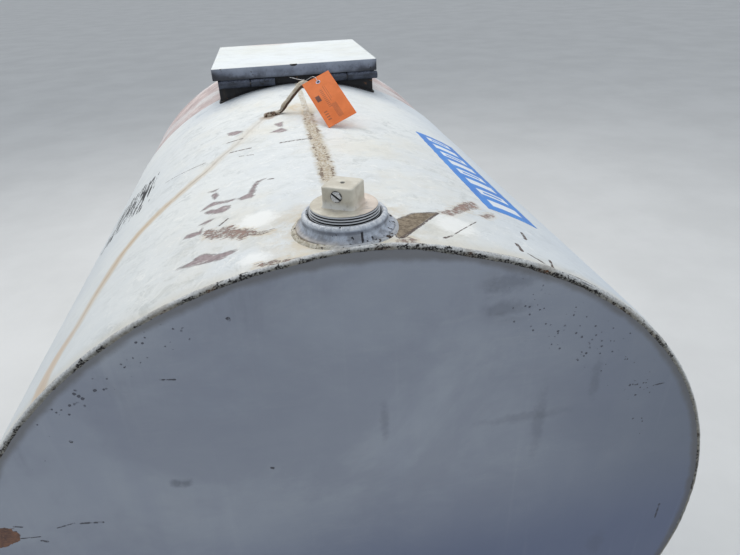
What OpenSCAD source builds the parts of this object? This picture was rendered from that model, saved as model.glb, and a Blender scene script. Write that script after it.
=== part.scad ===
// Round oil storage tank with flat heads, lying on two steel skids.
// Millimetres. X runs across the tank, Y along it from the front head to the back head, Z up.
// The origin is on the floor, under the middle of the tank.

/* [Tank] */
// Outside diameter of the shell
tank_d = 1220; // [1100:10:1500]
// Length of the tank from head to head
tank_l = 1550; // [1450:10:2400]
// Thickness of the shell plate
shell_t = 3.5; // [2.5:0.5:6]
// Thickness of each flat head
head_t = 5; // [4:0.5:8]
// How far the edge of a head stands inside the shell's outer face
head_step = 1.5; // [1:0.25:2]
// Radius of the corner weld round each head
corner_weld_r = 6; // [5:0.5:8]
// Length of the lap where the front course goes over the back one
lap_l = 25; // [15:1:40]
// Distance from the hatch's front wall back to the lap
lap_behind_hatch = 65; // [30:5:120]
// Leg of the fillet weld at the lap
lap_weld = 4; // [3:0.5:6]
// Width of the long seam's weld along the top
seam_w = 14; // [8:1:20]
// Height of the long seam's weld
seam_h = 1.5; // [1:0.25:3]

/* [Bung] */
// Distance from the front head's weld to the foot of the bung flange
bung_gap = 1; // [1:1:60]
// Diameter of the bung flange's foot
flange_foot_d = 122; // [118:2:134]
// Diameter of the bung flange at its top
flange_top_d = 112; // [108:1:118]
// Height of the bung flange over the top of the shell
flange_h = 20; // [16:1:40]
// Diameter of the plug's thread
thread_d = 92; // [84:1:94]
// Width of the weld round the flange's foot
bung_weld_w = 6; // [4:0.5:7]
// How far the thread stands out of the flange
thread_out = 10; // [5:0.5:12]
// Pitch of the thread's visible turns
thread_pitch = 3.2; // [2.5:0.1:4]
// Width of the plug's square across its flats
square_w = 43; // [36:1:50]
// Height of the plug's square
square_h = 28; // [26:1:40]
// Turn of the square from straight ahead
square_turn = 31; // [0:1:45]
// Diameter of the screw head in the square's side
screw_d = 15; // [10:1:18]

/* [Lifting lug] */
// Distance from the front head to the lug
lug_at = 725; // [600:5:800]
// Diameter of the lug's round bar
lug_rod_d = 16; // [12:1:20]
// Height of the lug over the top of the shell
lug_h = 66; // [56:1:90]
// Distance from the centre line to the middle of each foot
lug_foot_x = 78; // [70:1:100]
// Length of each foot's straight part
lug_foot_l = 34; // [24:1:44]
// Radius of the bend at the lug's top, on the bar's middle line
lug_top_bend = 16; // [12:1:20]
// Radius of the bend above each foot
lug_foot_bend = 12; // [10:1:20]

/* [Hatch] */
// Width and length of the hatch box outside its walls
hatch_w = 432; // [380:2:440]
// Thickness of the hatch's walls
hatch_t = 5; // [3:0.5:8]
// Distance from the hatch's back wall to the back head
hatch_to_head = 55; // [50:1:120]
// Width of the square hole in the shell
hatch_hole_w = 290; // [240:2:294]
// Leg of the weld round the hatch's foot
hatch_weld_w = 6; // [4:0.5:8]
// How far the lid reaches past the hatch's left and right walls
lid_side_out = 12.5; // [9:0.5:20]
// How far the lid's front stands out before the hatch's front wall
lid_front_out = 13; // [13:0.5:17]
// How far the lid's back stands out behind the hatch's back wall
lid_back_out = 12; // [9:0.5:20]
// Thickness of the lid's plate
lid_t = 3; // [2:0.5:4]
// Depth of the lid's skirt, plate included
lid_skirt = 31; // [25:1:31]
// Height of the lid's top over the top of the shell
lid_rise = 53; // [53:1:90]
// Radius of the lid's upright corners
lid_corner_r = 6; // [4:0.5:8]

/* [Hinges] */
// Diameter of the hinge barrels
barrel_d = 20; // [16:1:22]
// Diameter of the hinge pins
pin_d = 10; // [8:0.5:12]
// Length of each barrel on the lid
lid_barrel_l = 86; // [60:1:95]
// Length of each barrel on the box
box_barrel_l = 66; // [50:1:80]
// Distance between the lid's and the box's barrel
barrel_gap = 2; // [1:0.5:4]
// How far the left hinge is set in from the lid's left side
left_hinge_in = 14; // [0:1:20]
// Thickness of the hinge leaves
leaf_t = 3; // [2:0.5:4]

/* [Tag and label] */
// Width of the paper tag
tag_w = 65; // [55:1:70]
// Length of the paper tag
tag_l = 143; // [120:1:145]
// Thickness of the paper tag
tag_t = 0.8; // [0.5:0.1:1.5]
// How far the tag's eyelet is from its upper edge
eyelet_in = 16; // [12:1:22]
// Outside diameter of the eyelet
eyelet_d = 10; // [8:0.5:12]
// Diameter of the tag's wire
wire_d = 1.2; // [0.8:0.1:1.6]
// Distance from the front head to the label's front edge
label_at = 185; // [120:5:250]
// Length of the label along the tank
label_l = 466; // [300:2:500]
// Height of the label round the shell
label_w = 98; // [60:1:120]
// Angle from the top of the tank down to the label's middle
label_down = 27.8; // [22:0.2:40]
// Thickness of the label
label_t = 0.5; // [0.3:0.1:1]

/* [Stand] */
// Clear height under the tank
clearance_h = 160; // [130:5:300]
// Height of each skid
skid_h = 100; // [60:5:110]
// Width of each skid
skid_w = 50; // [40:2:80]
// Wall of the skid's channel section
skid_t = 6; // [4:0.5:10]
// Distance between the middles of the skids
skid_spacing = 640; // [500:10:700]
// How far each skid's end is from the tank's head
skid_inset = 70; // [0:5:150]
// Distance from a head to the nearer saddle
saddle_inset = 300; // [200:5:360]
// Thickness of a saddle's web
saddle_t = 8; // [6:0.5:12]
// Angle of shell that a saddle holds
saddle_wrap = 120; // [90:2:130]
// Width of the band between a saddle and the shell
pad_w = 100; // [60:2:140]
// Thickness of that band
pad_t = 5; // [4:0.5:8]

/* [Hidden] */
$fn = 96;
round_fn = 240;
seat = 0.2;
pin_fit = 0.05;
cut = 1;

front_y = -tank_l / 2;
back_y = tank_l / 2;
shell_r = tank_d / 2;
axis_z = clearance_h + shell_r;
crown_z = axis_z + shell_r;
back_r = shell_r - shell_t - seat;

hatch_back_y = back_y - hatch_to_head;
hatch_front_y = hatch_back_y - hatch_w;
hatch_mid_y = (hatch_front_y + hatch_back_y) / 2;
lap_y = hatch_front_y + lap_behind_hatch;
hatch_hole_y = lap_y + (hatch_back_y - hatch_t - lap_y) / 2;
hatch_hole_l = min(hatch_hole_w, hatch_back_y - hatch_t - lap_y - 2 * seat);

lid_z = crown_z + lid_rise;
lid_front_y = hatch_front_y - lid_front_out;
lid_w = hatch_w + 2 * lid_side_out;
lid_l = hatch_w + lid_front_out + lid_back_out;
lid_inner_r = max(lid_corner_r - lid_t, seat);
hinge_y = hatch_front_y - barrel_d / 2;
barrel_top_gap = 2;
hinge_z = lid_z - lid_skirt - barrel_top_gap - barrel_d / 2;
hinge_out_x = lid_w / 2;
hinge_split_x = hinge_out_x - lid_barrel_l;
leaf_y = lid_front_y + lid_t;

weld_end_y = front_y + head_t + corner_weld_r + seat;
bung_y = weld_end_y + bung_gap + flange_foot_d / 2;
plug_z = crown_z + flange_h + thread_out;
flange_lip = 3;
bung_sink = 12;
bung_weld_h = 4;
plug_below = 10;
square_edge_r = 5;
centre_mark = 2;
centre_mark_r = 3;
screw_up = 0.6;
screw_slot_turn = -35;
bore_r = thread_d / 2 + seat;

lug_y = front_y + lug_at;
rod_r = lug_rod_d / 2;
foot_r = shell_r + rod_r + seat / 2;
foot_slope = asin(lug_foot_x / foot_r);
foot_mid = [-foot_r * sin(foot_slope), foot_r * cos(foot_slope)];
foot_in = foot_mid + lug_foot_l / 2 * [cos(foot_slope), sin(foot_slope)];
foot_out = foot_mid - lug_foot_l / 2 * [cos(foot_slope), sin(foot_slope)];
foot_bend_at = foot_in + lug_foot_bend * [-sin(foot_slope), cos(foot_slope)];
top_bend_at = [0, shell_r + lug_h - rod_r - lug_top_bend];
bend_step = top_bend_at - foot_bend_at;
leg_slope = atan2(bend_step[1], bend_step[0]) + asin((lug_top_bend + lug_foot_bend) / norm(bend_step));
lug_left = concat([foot_out], arc(foot_bend_at, lug_foot_bend, 270 + foot_slope, 270 + leg_slope),
    arc(top_bend_at, lug_top_bend, 90 + leg_slope, 90));
lug_right = [for (i = [len(lug_left) - 2:-1:0]) [-lug_left[i][0], lug_left[i][1]]];
lug_top_z = axis_z + shell_r + lug_h - rod_r;
lug_sides = 16;
lug_weld_out = 4;
lug_weld_drop = 5;

tag_pitch = 30;
tag_roll = -22.5;
tag_turn = 6;
tag_corner_x = 33.5;
tag_before_lug = 168;
tag_corner_y = lug_y - tag_before_lug;
tag_corner_z = axis_z + sqrt(shell_r * shell_r - tag_corner_x * tag_corner_x) + seat;
barrel_wall = 0.7;
eyelet_hole_r = eyelet_d / 2 - 2 * barrel_wall;
eyelet_flange = 0.4;
wire_reach = 3;
wire_past_tag = 4;
wire_sides = 8;
wire_turn_from = 120;
wire_turn_step = 40;
wire_creep = 2;
wire_free_end = [-30, -4, 8];
wire_back_x = 5;

saddle_y = [front_y + saddle_inset, back_y - saddle_inset];
saddle_r = [shell_r, back_r];
saddle_past_band = 12;
skid_l = tank_l - 2 * skid_inset;

// A round bar along the tank's axis, between two places on Y
module along_tank(r, from_y, to_y) {
    translate([0, from_y, axis_z])
        rotate([-90, 0, 0])
            cylinder(r = r, h = to_y - from_y, $fn = round_fn);
}

// A round bar across the tank, between two places on X
module across(r, from_x, to_x) {
    translate([from_x, hinge_y, hinge_z])
        rotate([0, 90, 0])
            cylinder(r = r, h = to_x - from_x);
}

// A box given by its lowest and highest corners
module block(low, high) {
    translate(low)
        cube(high - low);
}

// Everything inside the outer faces of the two courses, with the lap's weld
module shell_room(extra = 0) {
    along_tank(shell_r + extra, front_y - cut, lap_y + extra);
    along_tank(back_r + extra, front_y, back_y + cut);
    along_tank(back_r + lap_weld + extra, lap_y, lap_y + lap_weld + extra);
}

// The two courses are rolled plates: the front one goes over the back one at the lap
module front_shell() {
    color([0.82, 0.84, 0.86])
    difference() {
        along_tank(shell_r, front_y + head_t, lap_y);
        along_tank(shell_r - shell_t, front_y, lap_y + cut);
        translate([0, bung_y, axis_z])
            cylinder(r = bore_r, h = shell_r + cut);
    }
}

module back_shell() {
    color([0.80, 0.78, 0.78])
    difference() {
        along_tank(back_r, lap_y - lap_l, back_y - head_t);
        along_tank(back_r - shell_t, lap_y - lap_l - cut, back_y);
        translate([0, hatch_hole_y, axis_z + shell_r / 2])
            linear_extrude(height = shell_r)
                square([hatch_hole_w, hatch_hole_l], center = true);
    }
}

module front_head() {
    color([0.55, 0.58, 0.62])
        along_tank(shell_r - head_step, front_y, front_y + head_t);
}

module back_head() {
    color([0.55, 0.58, 0.62])
        along_tank(back_r - head_step, back_y - head_t, back_y);
}

// A corner weld's section is a round bead, less the shell's end and the head's edge. It turns round the rim.
module corner_weld(r) {
    rotate_extrude($fn = round_fn)
        difference() {
            translate([r - head_step, 0])
                circle(r = corner_weld_r, $fn = 32);
            translate([0, -2 * corner_weld_r])
                square([r, 2 * corner_weld_r]);
            square([r - head_step, head_t]);
        }
}

module front_head_weld() {
    color([0.72, 0.73, 0.74])
    translate([0, front_y + head_t, axis_z])
        rotate([90, 0, 0])
            corner_weld(shell_r);
}

module back_head_weld() {
    color([0.72, 0.73, 0.74])
    translate([0, back_y - head_t, axis_z])
        rotate([-90, 0, 0])
            corner_weld(back_r);
}

// The fillet in the corner between the front course's end and the back course
module lap_weld_ring() {
    color([0.72, 0.73, 0.74])
    translate([0, lap_y, axis_z])
        rotate([-90, 0, 0])
            rotate_extrude($fn = round_fn)
                polygon([[back_r, 0], [back_r + lap_weld, 0], [back_r, lap_weld]]);
}

// The long seam's bead, from the bung's weld to the hatch
module top_seam_weld() {
    color([0.66, 0.60, 0.52])
    intersection() {
        difference() {
            along_tank(shell_r + seam_h, bung_y, hatch_front_y);
            along_tank(shell_r, bung_y - cut, hatch_front_y + cut);
        }
        block([-seam_w / 2, bung_y + flange_foot_d / 2 + bung_weld_w + seat, axis_z],
              [seam_w / 2, hatch_front_y - hatch_weld_w - seat, crown_z + seam_h]);
    }
}

// The flange's section, from its bore out: a hollow neck, a round top edge and a chamfered mouth
module flange_section() {
    foot_r = flange_foot_d / 2;
    top_r = flange_top_d / 2;
    neck_r = foot_r - top_r;
    edge_r = 5;
    mouth = 4;
    difference() {
        union() {
            translate([bore_r, -bung_sink])
                square([top_r - bore_r, flange_h + bung_sink - edge_r]);
            translate([bore_r, -bung_sink])
                square([top_r - edge_r - bore_r, flange_h + bung_sink]);
            translate([top_r - edge_r, flange_h - edge_r])
                circle(r = edge_r);
            translate([bore_r, -bung_sink])
                square([foot_r - bore_r, bung_sink + flange_lip]);
            translate([top_r, flange_lip])
                difference() {
                    square(neck_r);
                    translate([neck_r, neck_r])
                        circle(r = neck_r);
                }
        }
        polygon([[bore_r - cut, flange_h - mouth], [bore_r, flange_h - mouth], [bore_r + mouth, flange_h],
                 [bore_r + mouth, flange_h + cut], [bore_r - cut, flange_h + cut]]);
    }
}

// The bung's flange is a turned ring, cut at the bottom to sit on the shell
module bung_flange() {
    color([0.62, 0.66, 0.70])
    difference() {
        translate([0, bung_y, crown_z])
            rotate_extrude()
                flange_section();
        along_tank(shell_r + seat, front_y - cut, lap_y);
    }
}

// The weld round the flange's foot follows the shell and stops at the head's weld
module bung_weld() {
    foot_r = flange_foot_d / 2;
    color([0.74, 0.70, 0.62])
    difference() {
        intersection() {
            translate([0, bung_y, axis_z])
                cylinder(r = foot_r + bung_weld_w, h = shell_r + flange_h);
            along_tank(shell_r + bung_weld_h, weld_end_y, lap_y);
        }
        translate([0, bung_y, axis_z])
            cylinder(r = foot_r, h = shell_r + flange_h + cut);
        along_tank(shell_r, front_y, lap_y + cut);
    }
}

// The plug: a threaded body with a square on top, turned as it was left
module bung_plug() {
    body_h = thread_out + flange_h + shell_t + plug_below;
    thread_r = thread_d / 2;
    groove = thread_pitch / 2;
    color([0.80, 0.79, 0.70])
    difference() {
        union() {
            translate([0, bung_y, plug_z - body_h])
                cylinder(r = thread_r, h = body_h);
            on_plug()
                linear_extrude(height = square_h)
                    rounded_square(square_w, square_w, square_edge_r);
        }
        for (turn = [1:3])
            translate([0, bung_y, plug_z - turn * thread_pitch])
                rotate_extrude()
                    polygon([[thread_r + cut, -groove / 2 - cut], [thread_r + cut, groove / 2 + cut],
                             [thread_r - groove, 0]]);
        translate([0, bung_y, plug_z + square_h - centre_mark])
            cylinder(r = centre_mark_r, h = centre_mark + cut);
    }
}

module on_plug() {
    translate([0, bung_y, plug_z])
        rotate([0, 0, -square_turn])
            children();
}

// A rectangle with round corners, made of two bars and four discs
module rounded_square(w, l, r) {
    square([w, l - 2 * r], center = true);
    square([w - 2 * r, l], center = true);
    for (sx = [-1, 1], sy = [-1, 1])
        translate([sx * (w / 2 - r), sy * (l / 2 - r)])
            circle(r = r, $fn = 32);
}

// A slotted screw head stands on the square's front side
module plug_screw() {
    head_h = 1.4;
    slot_w = 2;
    color([0.72, 0.74, 0.74])
    on_plug()
        translate([0, -square_w / 2, square_h * screw_up])
            rotate([90, 0, 0])
                difference() {
                    cylinder(r = screw_d / 2, h = head_h, $fn = 48);
                    translate([0, 0, head_h])
                        rotate([0, 0, screw_slot_turn])
                            cube([screw_d + cut, slot_w, head_h], center = true);
                }
}

// Points along a bend of the lug's bar, from one angle to another
function arc(at, r, from, to, steps = 5) = [for (i = [0:steps])
    let (angle = from + (to - from) * i / steps) at + r * [cos(angle), sin(angle)]];

function unit(v) = v / norm(v);

// The direction at a point of a route: along the two stretches that meet there
function route_way(p, i) = unit((i > 0 ? unit(p[i] - p[i - 1]) : [0, 0, 0])
    + (i < len(p) - 1 ? unit(p[i + 1] - p[i]) : [0, 0, 0]));

// Rings of points round each point of a route, each turned as little as it can be from the one before
function route_rings(p, i, side, r, sides) = i == len(p) ? [] :
    let (way = route_way(p, i), u = unit(side - (side * way) * way), v = cross(way, u))
    concat([for (a = [0:sides - 1]) p[i] + r * (cos(a * 360 / sides) * u + sin(a * 360 / sides) * v)],
           route_rings(p, i + 1, u, r, sides));

// A round bar or wire along a route, as one closed skin
module bent_bar(p, side, r, sides) {
    last = (len(p) - 1) * sides;
    polyhedron(
        points = route_rings(p, 0, side, r, sides),
        faces = concat(
            [[for (a = [sides - 1:-1:0]) a]],
            [for (i = [0:len(p) - 2], a = [0:sides - 1]) let (b = (a + 1) % sides)
                [i * sides + a, i * sides + b, (i + 1) * sides + b, (i + 1) * sides + a]],
            [[for (a = [0:sides - 1]) last + a]]));
}

// The lug is one round bar bent to an upturned V with two flat feet
module lifting_lug() {
    route = [for (p = concat(lug_left, lug_right)) [p[0], lug_y, axis_z + p[1]]];
    color([0.62, 0.58, 0.52])
        bent_bar(route, [0, 1, 0], rod_r, lug_sides);
}

// A straight bar between two points of the lug's own plane
module foot_bar(r, from, to) {
    run = to - from;
    translate([from[0], lug_y, axis_z + from[1]])
        rotate([0, 90 - atan2(run[1], run[0]), 0])
            cylinder(r = r, h = norm(run));
}

// The weld at a foot: a thicker bar let down into the shell, less the shell and the foot
module lug_weld() {
    lie = [-sin(foot_slope), cos(foot_slope)];
    run = [cos(foot_slope), sin(foot_slope)];
    difference() {
        foot_bar(rod_r + lug_weld_out, foot_out - lug_weld_out * run - lug_weld_drop * lie,
                 foot_in - lug_weld_drop * lie);
        along_tank(shell_r, front_y, lap_y);
        foot_bar(rod_r, foot_out, foot_in + cut * run);
    }
}

module lug_weld_left() {
    color([0.45, 0.36, 0.30])
        lug_weld();
}

module lug_weld_right() {
    color([0.45, 0.36, 0.30])
        mirror([1, 0, 0])
            lug_weld();
}

// The hatch is a square box of four plates, each cut at the bottom to sit on the shell
module hatch_wall(low, high) {
    color([0.30, 0.30, 0.32])
    difference() {
        block([low[0], low[1], axis_z], [high[0], high[1], lid_z - lid_t - seat]);
        shell_room(seat);
    }
}

module hatch_front_wall() {
    hatch_wall([-hatch_w / 2, hatch_front_y], [hatch_w / 2, hatch_front_y + hatch_t]);
}

module hatch_back_wall() {
    hatch_wall([-hatch_w / 2, hatch_back_y - hatch_t], [hatch_w / 2, hatch_back_y]);
}

module hatch_left_wall() {
    hatch_wall([-hatch_w / 2, hatch_front_y + hatch_t], [-hatch_w / 2 + hatch_t, hatch_back_y - hatch_t]);
}

module hatch_right_wall() {
    hatch_wall([hatch_w / 2 - hatch_t, hatch_front_y + hatch_t], [hatch_w / 2, hatch_back_y - hatch_t]);
}

// The weld round the hatch's foot: a square ring that lies on the shell
module hatch_weld() {
    w = hatch_w / 2;
    o = w + hatch_weld_w;
    color([0.42, 0.42, 0.43])
    difference() {
        intersection() {
            block([-o, hatch_mid_y - o, axis_z], [o, hatch_mid_y + o, crown_z + hatch_weld_w]);
            shell_room(hatch_weld_w);
        }
        block([-w, hatch_mid_y - w, 0], [w, hatch_mid_y + w, lid_z]);
        shell_room(0);
    }
}

// The lid is one folded pan: a plate with a skirt on its four sides
module lid() {
    color([0.85, 0.87, 0.88])
    translate([0, lid_front_y + lid_l / 2, lid_z - lid_skirt])
        difference() {
            linear_extrude(height = lid_skirt)
                rounded_square(lid_w, lid_l, lid_corner_r);
            translate([0, 0, -cut])
                linear_extrude(height = lid_skirt - lid_t + cut)
                    rounded_square(lid_w - 2 * lid_t, lid_l - 2 * lid_t, lid_inner_r);
        }
}

// A barrel on the lid has a leaf that stands up behind the lid's front skirt
module lid_barrel() {
    color([0.35, 0.36, 0.38])
    difference() {
        union() {
            across(barrel_d / 2, hinge_split_x, hinge_out_x);
            block([hinge_split_x, leaf_y, hinge_z],
                  [hinge_out_x - lid_corner_r, leaf_y + leaf_t, lid_z - 2 * lid_t]);
        }
        across(pin_d / 2 + pin_fit, hinge_split_x - cut, hinge_out_x + cut);
    }
}

// A barrel on the box has a leaf that lies down its front wall
module box_barrel() {
    color([0.28, 0.28, 0.30])
    difference() {
        union() {
            across(barrel_d / 2, box_in_x(), hinge_split_x - barrel_gap);
            block([box_in_x(), hatch_front_y - leaf_t, hinge_z - barrel_d / 2],
                  [hinge_split_x - barrel_gap, hatch_front_y, hinge_z]);
        }
        across(pin_d / 2 + pin_fit, 0, hinge_out_x);
    }
}

// The barrels on the box are ground away where they would meet the weld round the hatch's foot
module clear_of_weld() {
    difference() {
        children();
        shell_room(hatch_weld_w + seat);
    }
}

function box_in_x() = hinge_split_x - barrel_gap - box_barrel_l;

module hinge_pin() {
    color([0.40, 0.40, 0.42])
        across(pin_d / 2, box_in_x(), hinge_out_x);
}

// The left hinge mirrors the right one, and is set further in
module on_left_side() {
    translate([left_hinge_in, 0, 0])
        mirror([1, 0, 0])
            children();
}

module right_lid_barrel() {
    lid_barrel();
}

module left_lid_barrel() {
    on_left_side()
        lid_barrel();
}

module right_box_barrel() {
    clear_of_weld()
        box_barrel();
}

module left_box_barrel() {
    clear_of_weld()
        on_left_side()
            box_barrel();
}

module right_hinge_pin() {
    hinge_pin();
}

module left_hinge_pin() {
    on_left_side()
        hinge_pin();
}

// The tag stands on one corner, so that corner is its place: X to its right, Y up its length
module on_tag() {
    translate([tag_corner_x, tag_corner_y, tag_corner_z])
        rotate([tag_pitch, tag_roll, tag_turn])
            children();
}

module paper_tag() {
    color([0.90, 0.47, 0.16])
    on_tag()
        difference() {
            cube([tag_w, tag_l, tag_t]);
            translate([tag_w / 2, tag_l - eyelet_in, -cut])
                cylinder(r = eyelet_d / 2 - barrel_wall + seat / 4, h = tag_t + 2 * cut, $fn = 32);
        }
}

module tag_eyelet() {
    color([0.70, 0.72, 0.80])
    on_tag()
        translate([tag_w / 2, tag_l - eyelet_in, 0])
            difference() {
                union() {
                    translate([0, 0, -eyelet_flange])
                        cylinder(r = eyelet_d / 2, h = eyelet_flange, $fn = 32);
                    cylinder(r = eyelet_d / 2 - barrel_wall, h = tag_t, $fn = 32);
                    translate([0, 0, tag_t])
                        cylinder(r = eyelet_d / 2, h = eyelet_flange, $fn = 32);
                }
                translate([0, 0, -cut])
                    cylinder(r = eyelet_hole_r, h = tag_t + 2 * cut, $fn = 32);
            }
}

// The place of a point of the tag, in the tank's own frame
function tag_point(x, y, z) =
    let (y1 = y * cos(tag_pitch) - z * sin(tag_pitch), z1 = y * sin(tag_pitch) + z * cos(tag_pitch))
    let (x2 = x * cos(tag_roll) + z1 * sin(tag_roll), z2 = -x * sin(tag_roll) + z1 * cos(tag_roll))
    [tag_corner_x + x2 * cos(tag_turn) - y1 * sin(tag_turn),
     tag_corner_y + x2 * sin(tag_turn) + y1 * cos(tag_turn),
     tag_corner_z + z2];

// The wire goes from its free end round the lug's top, through the eyelet and back to the lug
module tag_wire() {
    above = tag_point(tag_w / 2, tag_l - eyelet_in, tag_t + wire_reach);
    below = tag_point(tag_w / 2, tag_l - eyelet_in, -wire_reach);
    over_edge = tag_point(tag_w / 2, tag_l + wire_past_tag, tag_t + wire_reach);
    under_edge = tag_point(tag_w / 2, tag_l + wire_past_tag, -wire_reach);
    lug_top = [0, lug_y, lug_top_z];
    turn_r = rod_r + wire_d;
    bar_turns = [for (angle = [wire_turn_from:-wire_turn_step:-wire_turn_from])
        lug_top + turn_r / cos(wire_turn_step / 2) * [0, cos(angle), sin(angle)]
            + [angle / wire_turn_from * wire_creep, 0, 0]];
    free_end = lug_top + wire_free_end + [0, 0, turn_r];
    back_end = lug_top + [wire_back_x, -turn_r, turn_r];
    color([0.75, 0.76, 0.78])
        bent_bar(concat([free_end], bar_turns, [under_edge, below, above, over_edge, back_end]),
                 [0, 0, 1], wire_d / 2, wire_sides);
}

// The label is a sheet bent round the shell
module side_label() {
    sweep = label_w / shell_r * 180 / PI;
    color([0.22, 0.50, 0.84])
    translate([0, front_y + label_at + label_l, axis_z])
        rotate([90, 0, 0])
            rotate([0, 0, 90 - label_down - sweep / 2])
                rotate_extrude(angle = sweep, $fn = round_fn)
                    translate([shell_r + seat / 2, 0])
                        square([label_t, label_l]);
}

// A skid is a channel with its open side turned in
module skid(side) {
    outer = side * (skid_spacing / 2 + skid_w / 2);
    inner = outer - side * skid_w;
    color([0.55, 0.57, 0.60])
    difference() {
        block([min(outer, inner), -skid_l / 2, 0], [max(outer, inner), skid_l / 2, skid_h]);
        block([min(outer - side * skid_t, inner - side * cut), -skid_l / 2 - cut, skid_t],
              [max(outer - side * skid_t, inner - side * cut), skid_l / 2 + cut, skid_h - skid_t]);
    }
}

module left_skid() {
    skid(-1);
}

module right_skid() {
    skid(1);
}

// A saddle's web stands on both skids and holds a band bent to the shell
module saddle(at) {
    foot_x = skid_spacing / 2 + skid_w / 2;
    top_r = saddle_r[at] + pad_t;
    top_x = top_r * sin(saddle_wrap / 2) + saddle_past_band;
    top_z = axis_z - top_r * cos(saddle_wrap / 2);
    color([0.55, 0.57, 0.60])
    difference() {
        translate([0, saddle_y[at] + saddle_t / 2, 0])
            rotate([90, 0, 0])
                linear_extrude(height = saddle_t)
                    polygon([[-foot_x, skid_h], [foot_x, skid_h], [top_x, top_z], [-top_x, top_z]]);
        along_tank(top_r + seat, saddle_y[at] - saddle_t, saddle_y[at] + saddle_t);
    }
}

module front_saddle() {
    saddle(0);
}

module back_saddle() {
    saddle(1);
}

module saddle_band(at) {
    color([0.58, 0.60, 0.63])
    translate([0, saddle_y[at] + pad_w / 2, axis_z])
        rotate([90, 0, 0])
            rotate([0, 0, 270 - saddle_wrap / 2])
                rotate_extrude(angle = saddle_wrap, $fn = round_fn)
                    translate([saddle_r[at] + seat / 2, 0])
                        square([pad_t, pad_w]);
}

module front_saddle_band() {
    saddle_band(0);
}

module back_saddle_band() {
    saddle_band(1);
}

// Two gussets stiffen each web over the skids
module gussets(at) {
    color([0.55, 0.57, 0.60])
    for (side = [-1, 1], way = [-1, 1])
        difference() {
            block([side * skid_spacing / 2 - saddle_t / 2,
                   saddle_y[at] + (way < 0 ? -pad_w / 2 : saddle_t / 2), skid_h],
                  [side * skid_spacing / 2 + saddle_t / 2,
                   saddle_y[at] + (way < 0 ? -saddle_t / 2 : pad_w / 2), axis_z - shell_r / 2]);
            along_tank(saddle_r[at] + pad_t + seat, saddle_y[at] - pad_w, saddle_y[at] + pad_w);
        }
}

module front_gussets() {
    gussets(0);
}

module back_gussets() {
    gussets(1);
}

front_head();
back_head();
front_shell();
back_shell();
front_head_weld();
back_head_weld();
lap_weld_ring();
top_seam_weld();
bung_flange();
bung_weld();
bung_plug();
plug_screw();
lifting_lug();
lug_weld_left();
lug_weld_right();
hatch_front_wall();
hatch_back_wall();
hatch_left_wall();
hatch_right_wall();
hatch_weld();
lid();
left_lid_barrel();
right_lid_barrel();
left_box_barrel();
right_box_barrel();
left_hinge_pin();
right_hinge_pin();
paper_tag();
tag_eyelet();
tag_wire();
side_label();
left_skid();
right_skid();
front_saddle();
back_saddle();
front_saddle_band();
back_saddle_band();
front_gussets();
back_gussets();
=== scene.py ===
"""Looks of a round, flat-headed steel oil storage tank that lies on a skid stand."""

from math import asin, atan2, ceil, cos, hypot, pi, radians, sin

import bpy
import numpy as np
from mathutils import Euler, Matrix, Vector


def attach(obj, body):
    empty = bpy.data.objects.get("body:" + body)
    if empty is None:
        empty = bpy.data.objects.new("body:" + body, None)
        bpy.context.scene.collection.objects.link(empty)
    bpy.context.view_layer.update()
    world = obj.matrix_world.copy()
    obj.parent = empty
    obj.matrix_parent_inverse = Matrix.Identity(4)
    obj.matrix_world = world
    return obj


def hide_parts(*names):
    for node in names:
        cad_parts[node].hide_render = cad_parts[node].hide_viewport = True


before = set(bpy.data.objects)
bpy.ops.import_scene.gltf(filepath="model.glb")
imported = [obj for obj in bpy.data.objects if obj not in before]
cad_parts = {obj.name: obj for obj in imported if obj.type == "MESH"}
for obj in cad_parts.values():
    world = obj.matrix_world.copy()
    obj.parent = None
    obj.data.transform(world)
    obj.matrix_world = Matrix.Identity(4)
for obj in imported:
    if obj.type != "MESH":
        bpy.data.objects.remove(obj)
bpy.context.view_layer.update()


# Camera: at eye height close to the front head, tilted down over the bung towards the hatch.
# Its place and turn come from the rims and the fittings, with a wide phone lens.
eye = bpy.data.cameras.new("Eye")
eye.lens = 27.1
eye.sensor_width = 36.0
eye.clip_end = 200.0
camera = bpy.data.objects.new("Camera", eye)
bpy.context.scene.collection.objects.link(camera)
eye_place, about_axis = (-0.0739, -1.3604, 1.680), radians(1.146)
ahead = Vector((0.14442, 0.85653, -0.49549))
right = Vector((0.98426, -0.17588, -0.01716))
eye_turn = Matrix.Rotation(about_axis, 3, "Y") @ Matrix((right, right.cross(ahead), -ahead)).transposed()
camera.matrix_world = Matrix.Translation(eye_place) @ eye_turn.to_4x4()
bpy.context.scene.camera = camera


# Shell: two rolled steel plates, the front course lapped over the back one and welded there.
# Off-white enamel over a mauve primer, chalky with age, peeled near the bung, with rust run from the lug.
axis_z, shell_r, plate_t = 0.770, 0.610, 0.0035
front_y, back_y, head_t = -0.775, 0.775, 0.005
lap_y, lap_l = 0.353, 0.025
back_r = shell_r - plate_t - 0.0002
bung_y, bung_foot_r = -0.7018, 0.061
lug_y = -0.050
pull_mid, pull_near, pull_far = 0.035, 0.05, 0.13
hatch_front_y, hatch_back_y, hatch_half_w = 0.288, 0.720, 0.216


def steps(*stops):
    """Grid lines through a row of stops. Each stop is a place and the widest step that may lead up to it."""
    lines = [np.linspace(a[0], b[0], max(1, ceil((b[0] - a[0]) / b[1])), endpoint=False)
             for a, b in zip(stops, stops[1:])]
    return np.concatenate(lines + [[stops[-1][0]]])


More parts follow.
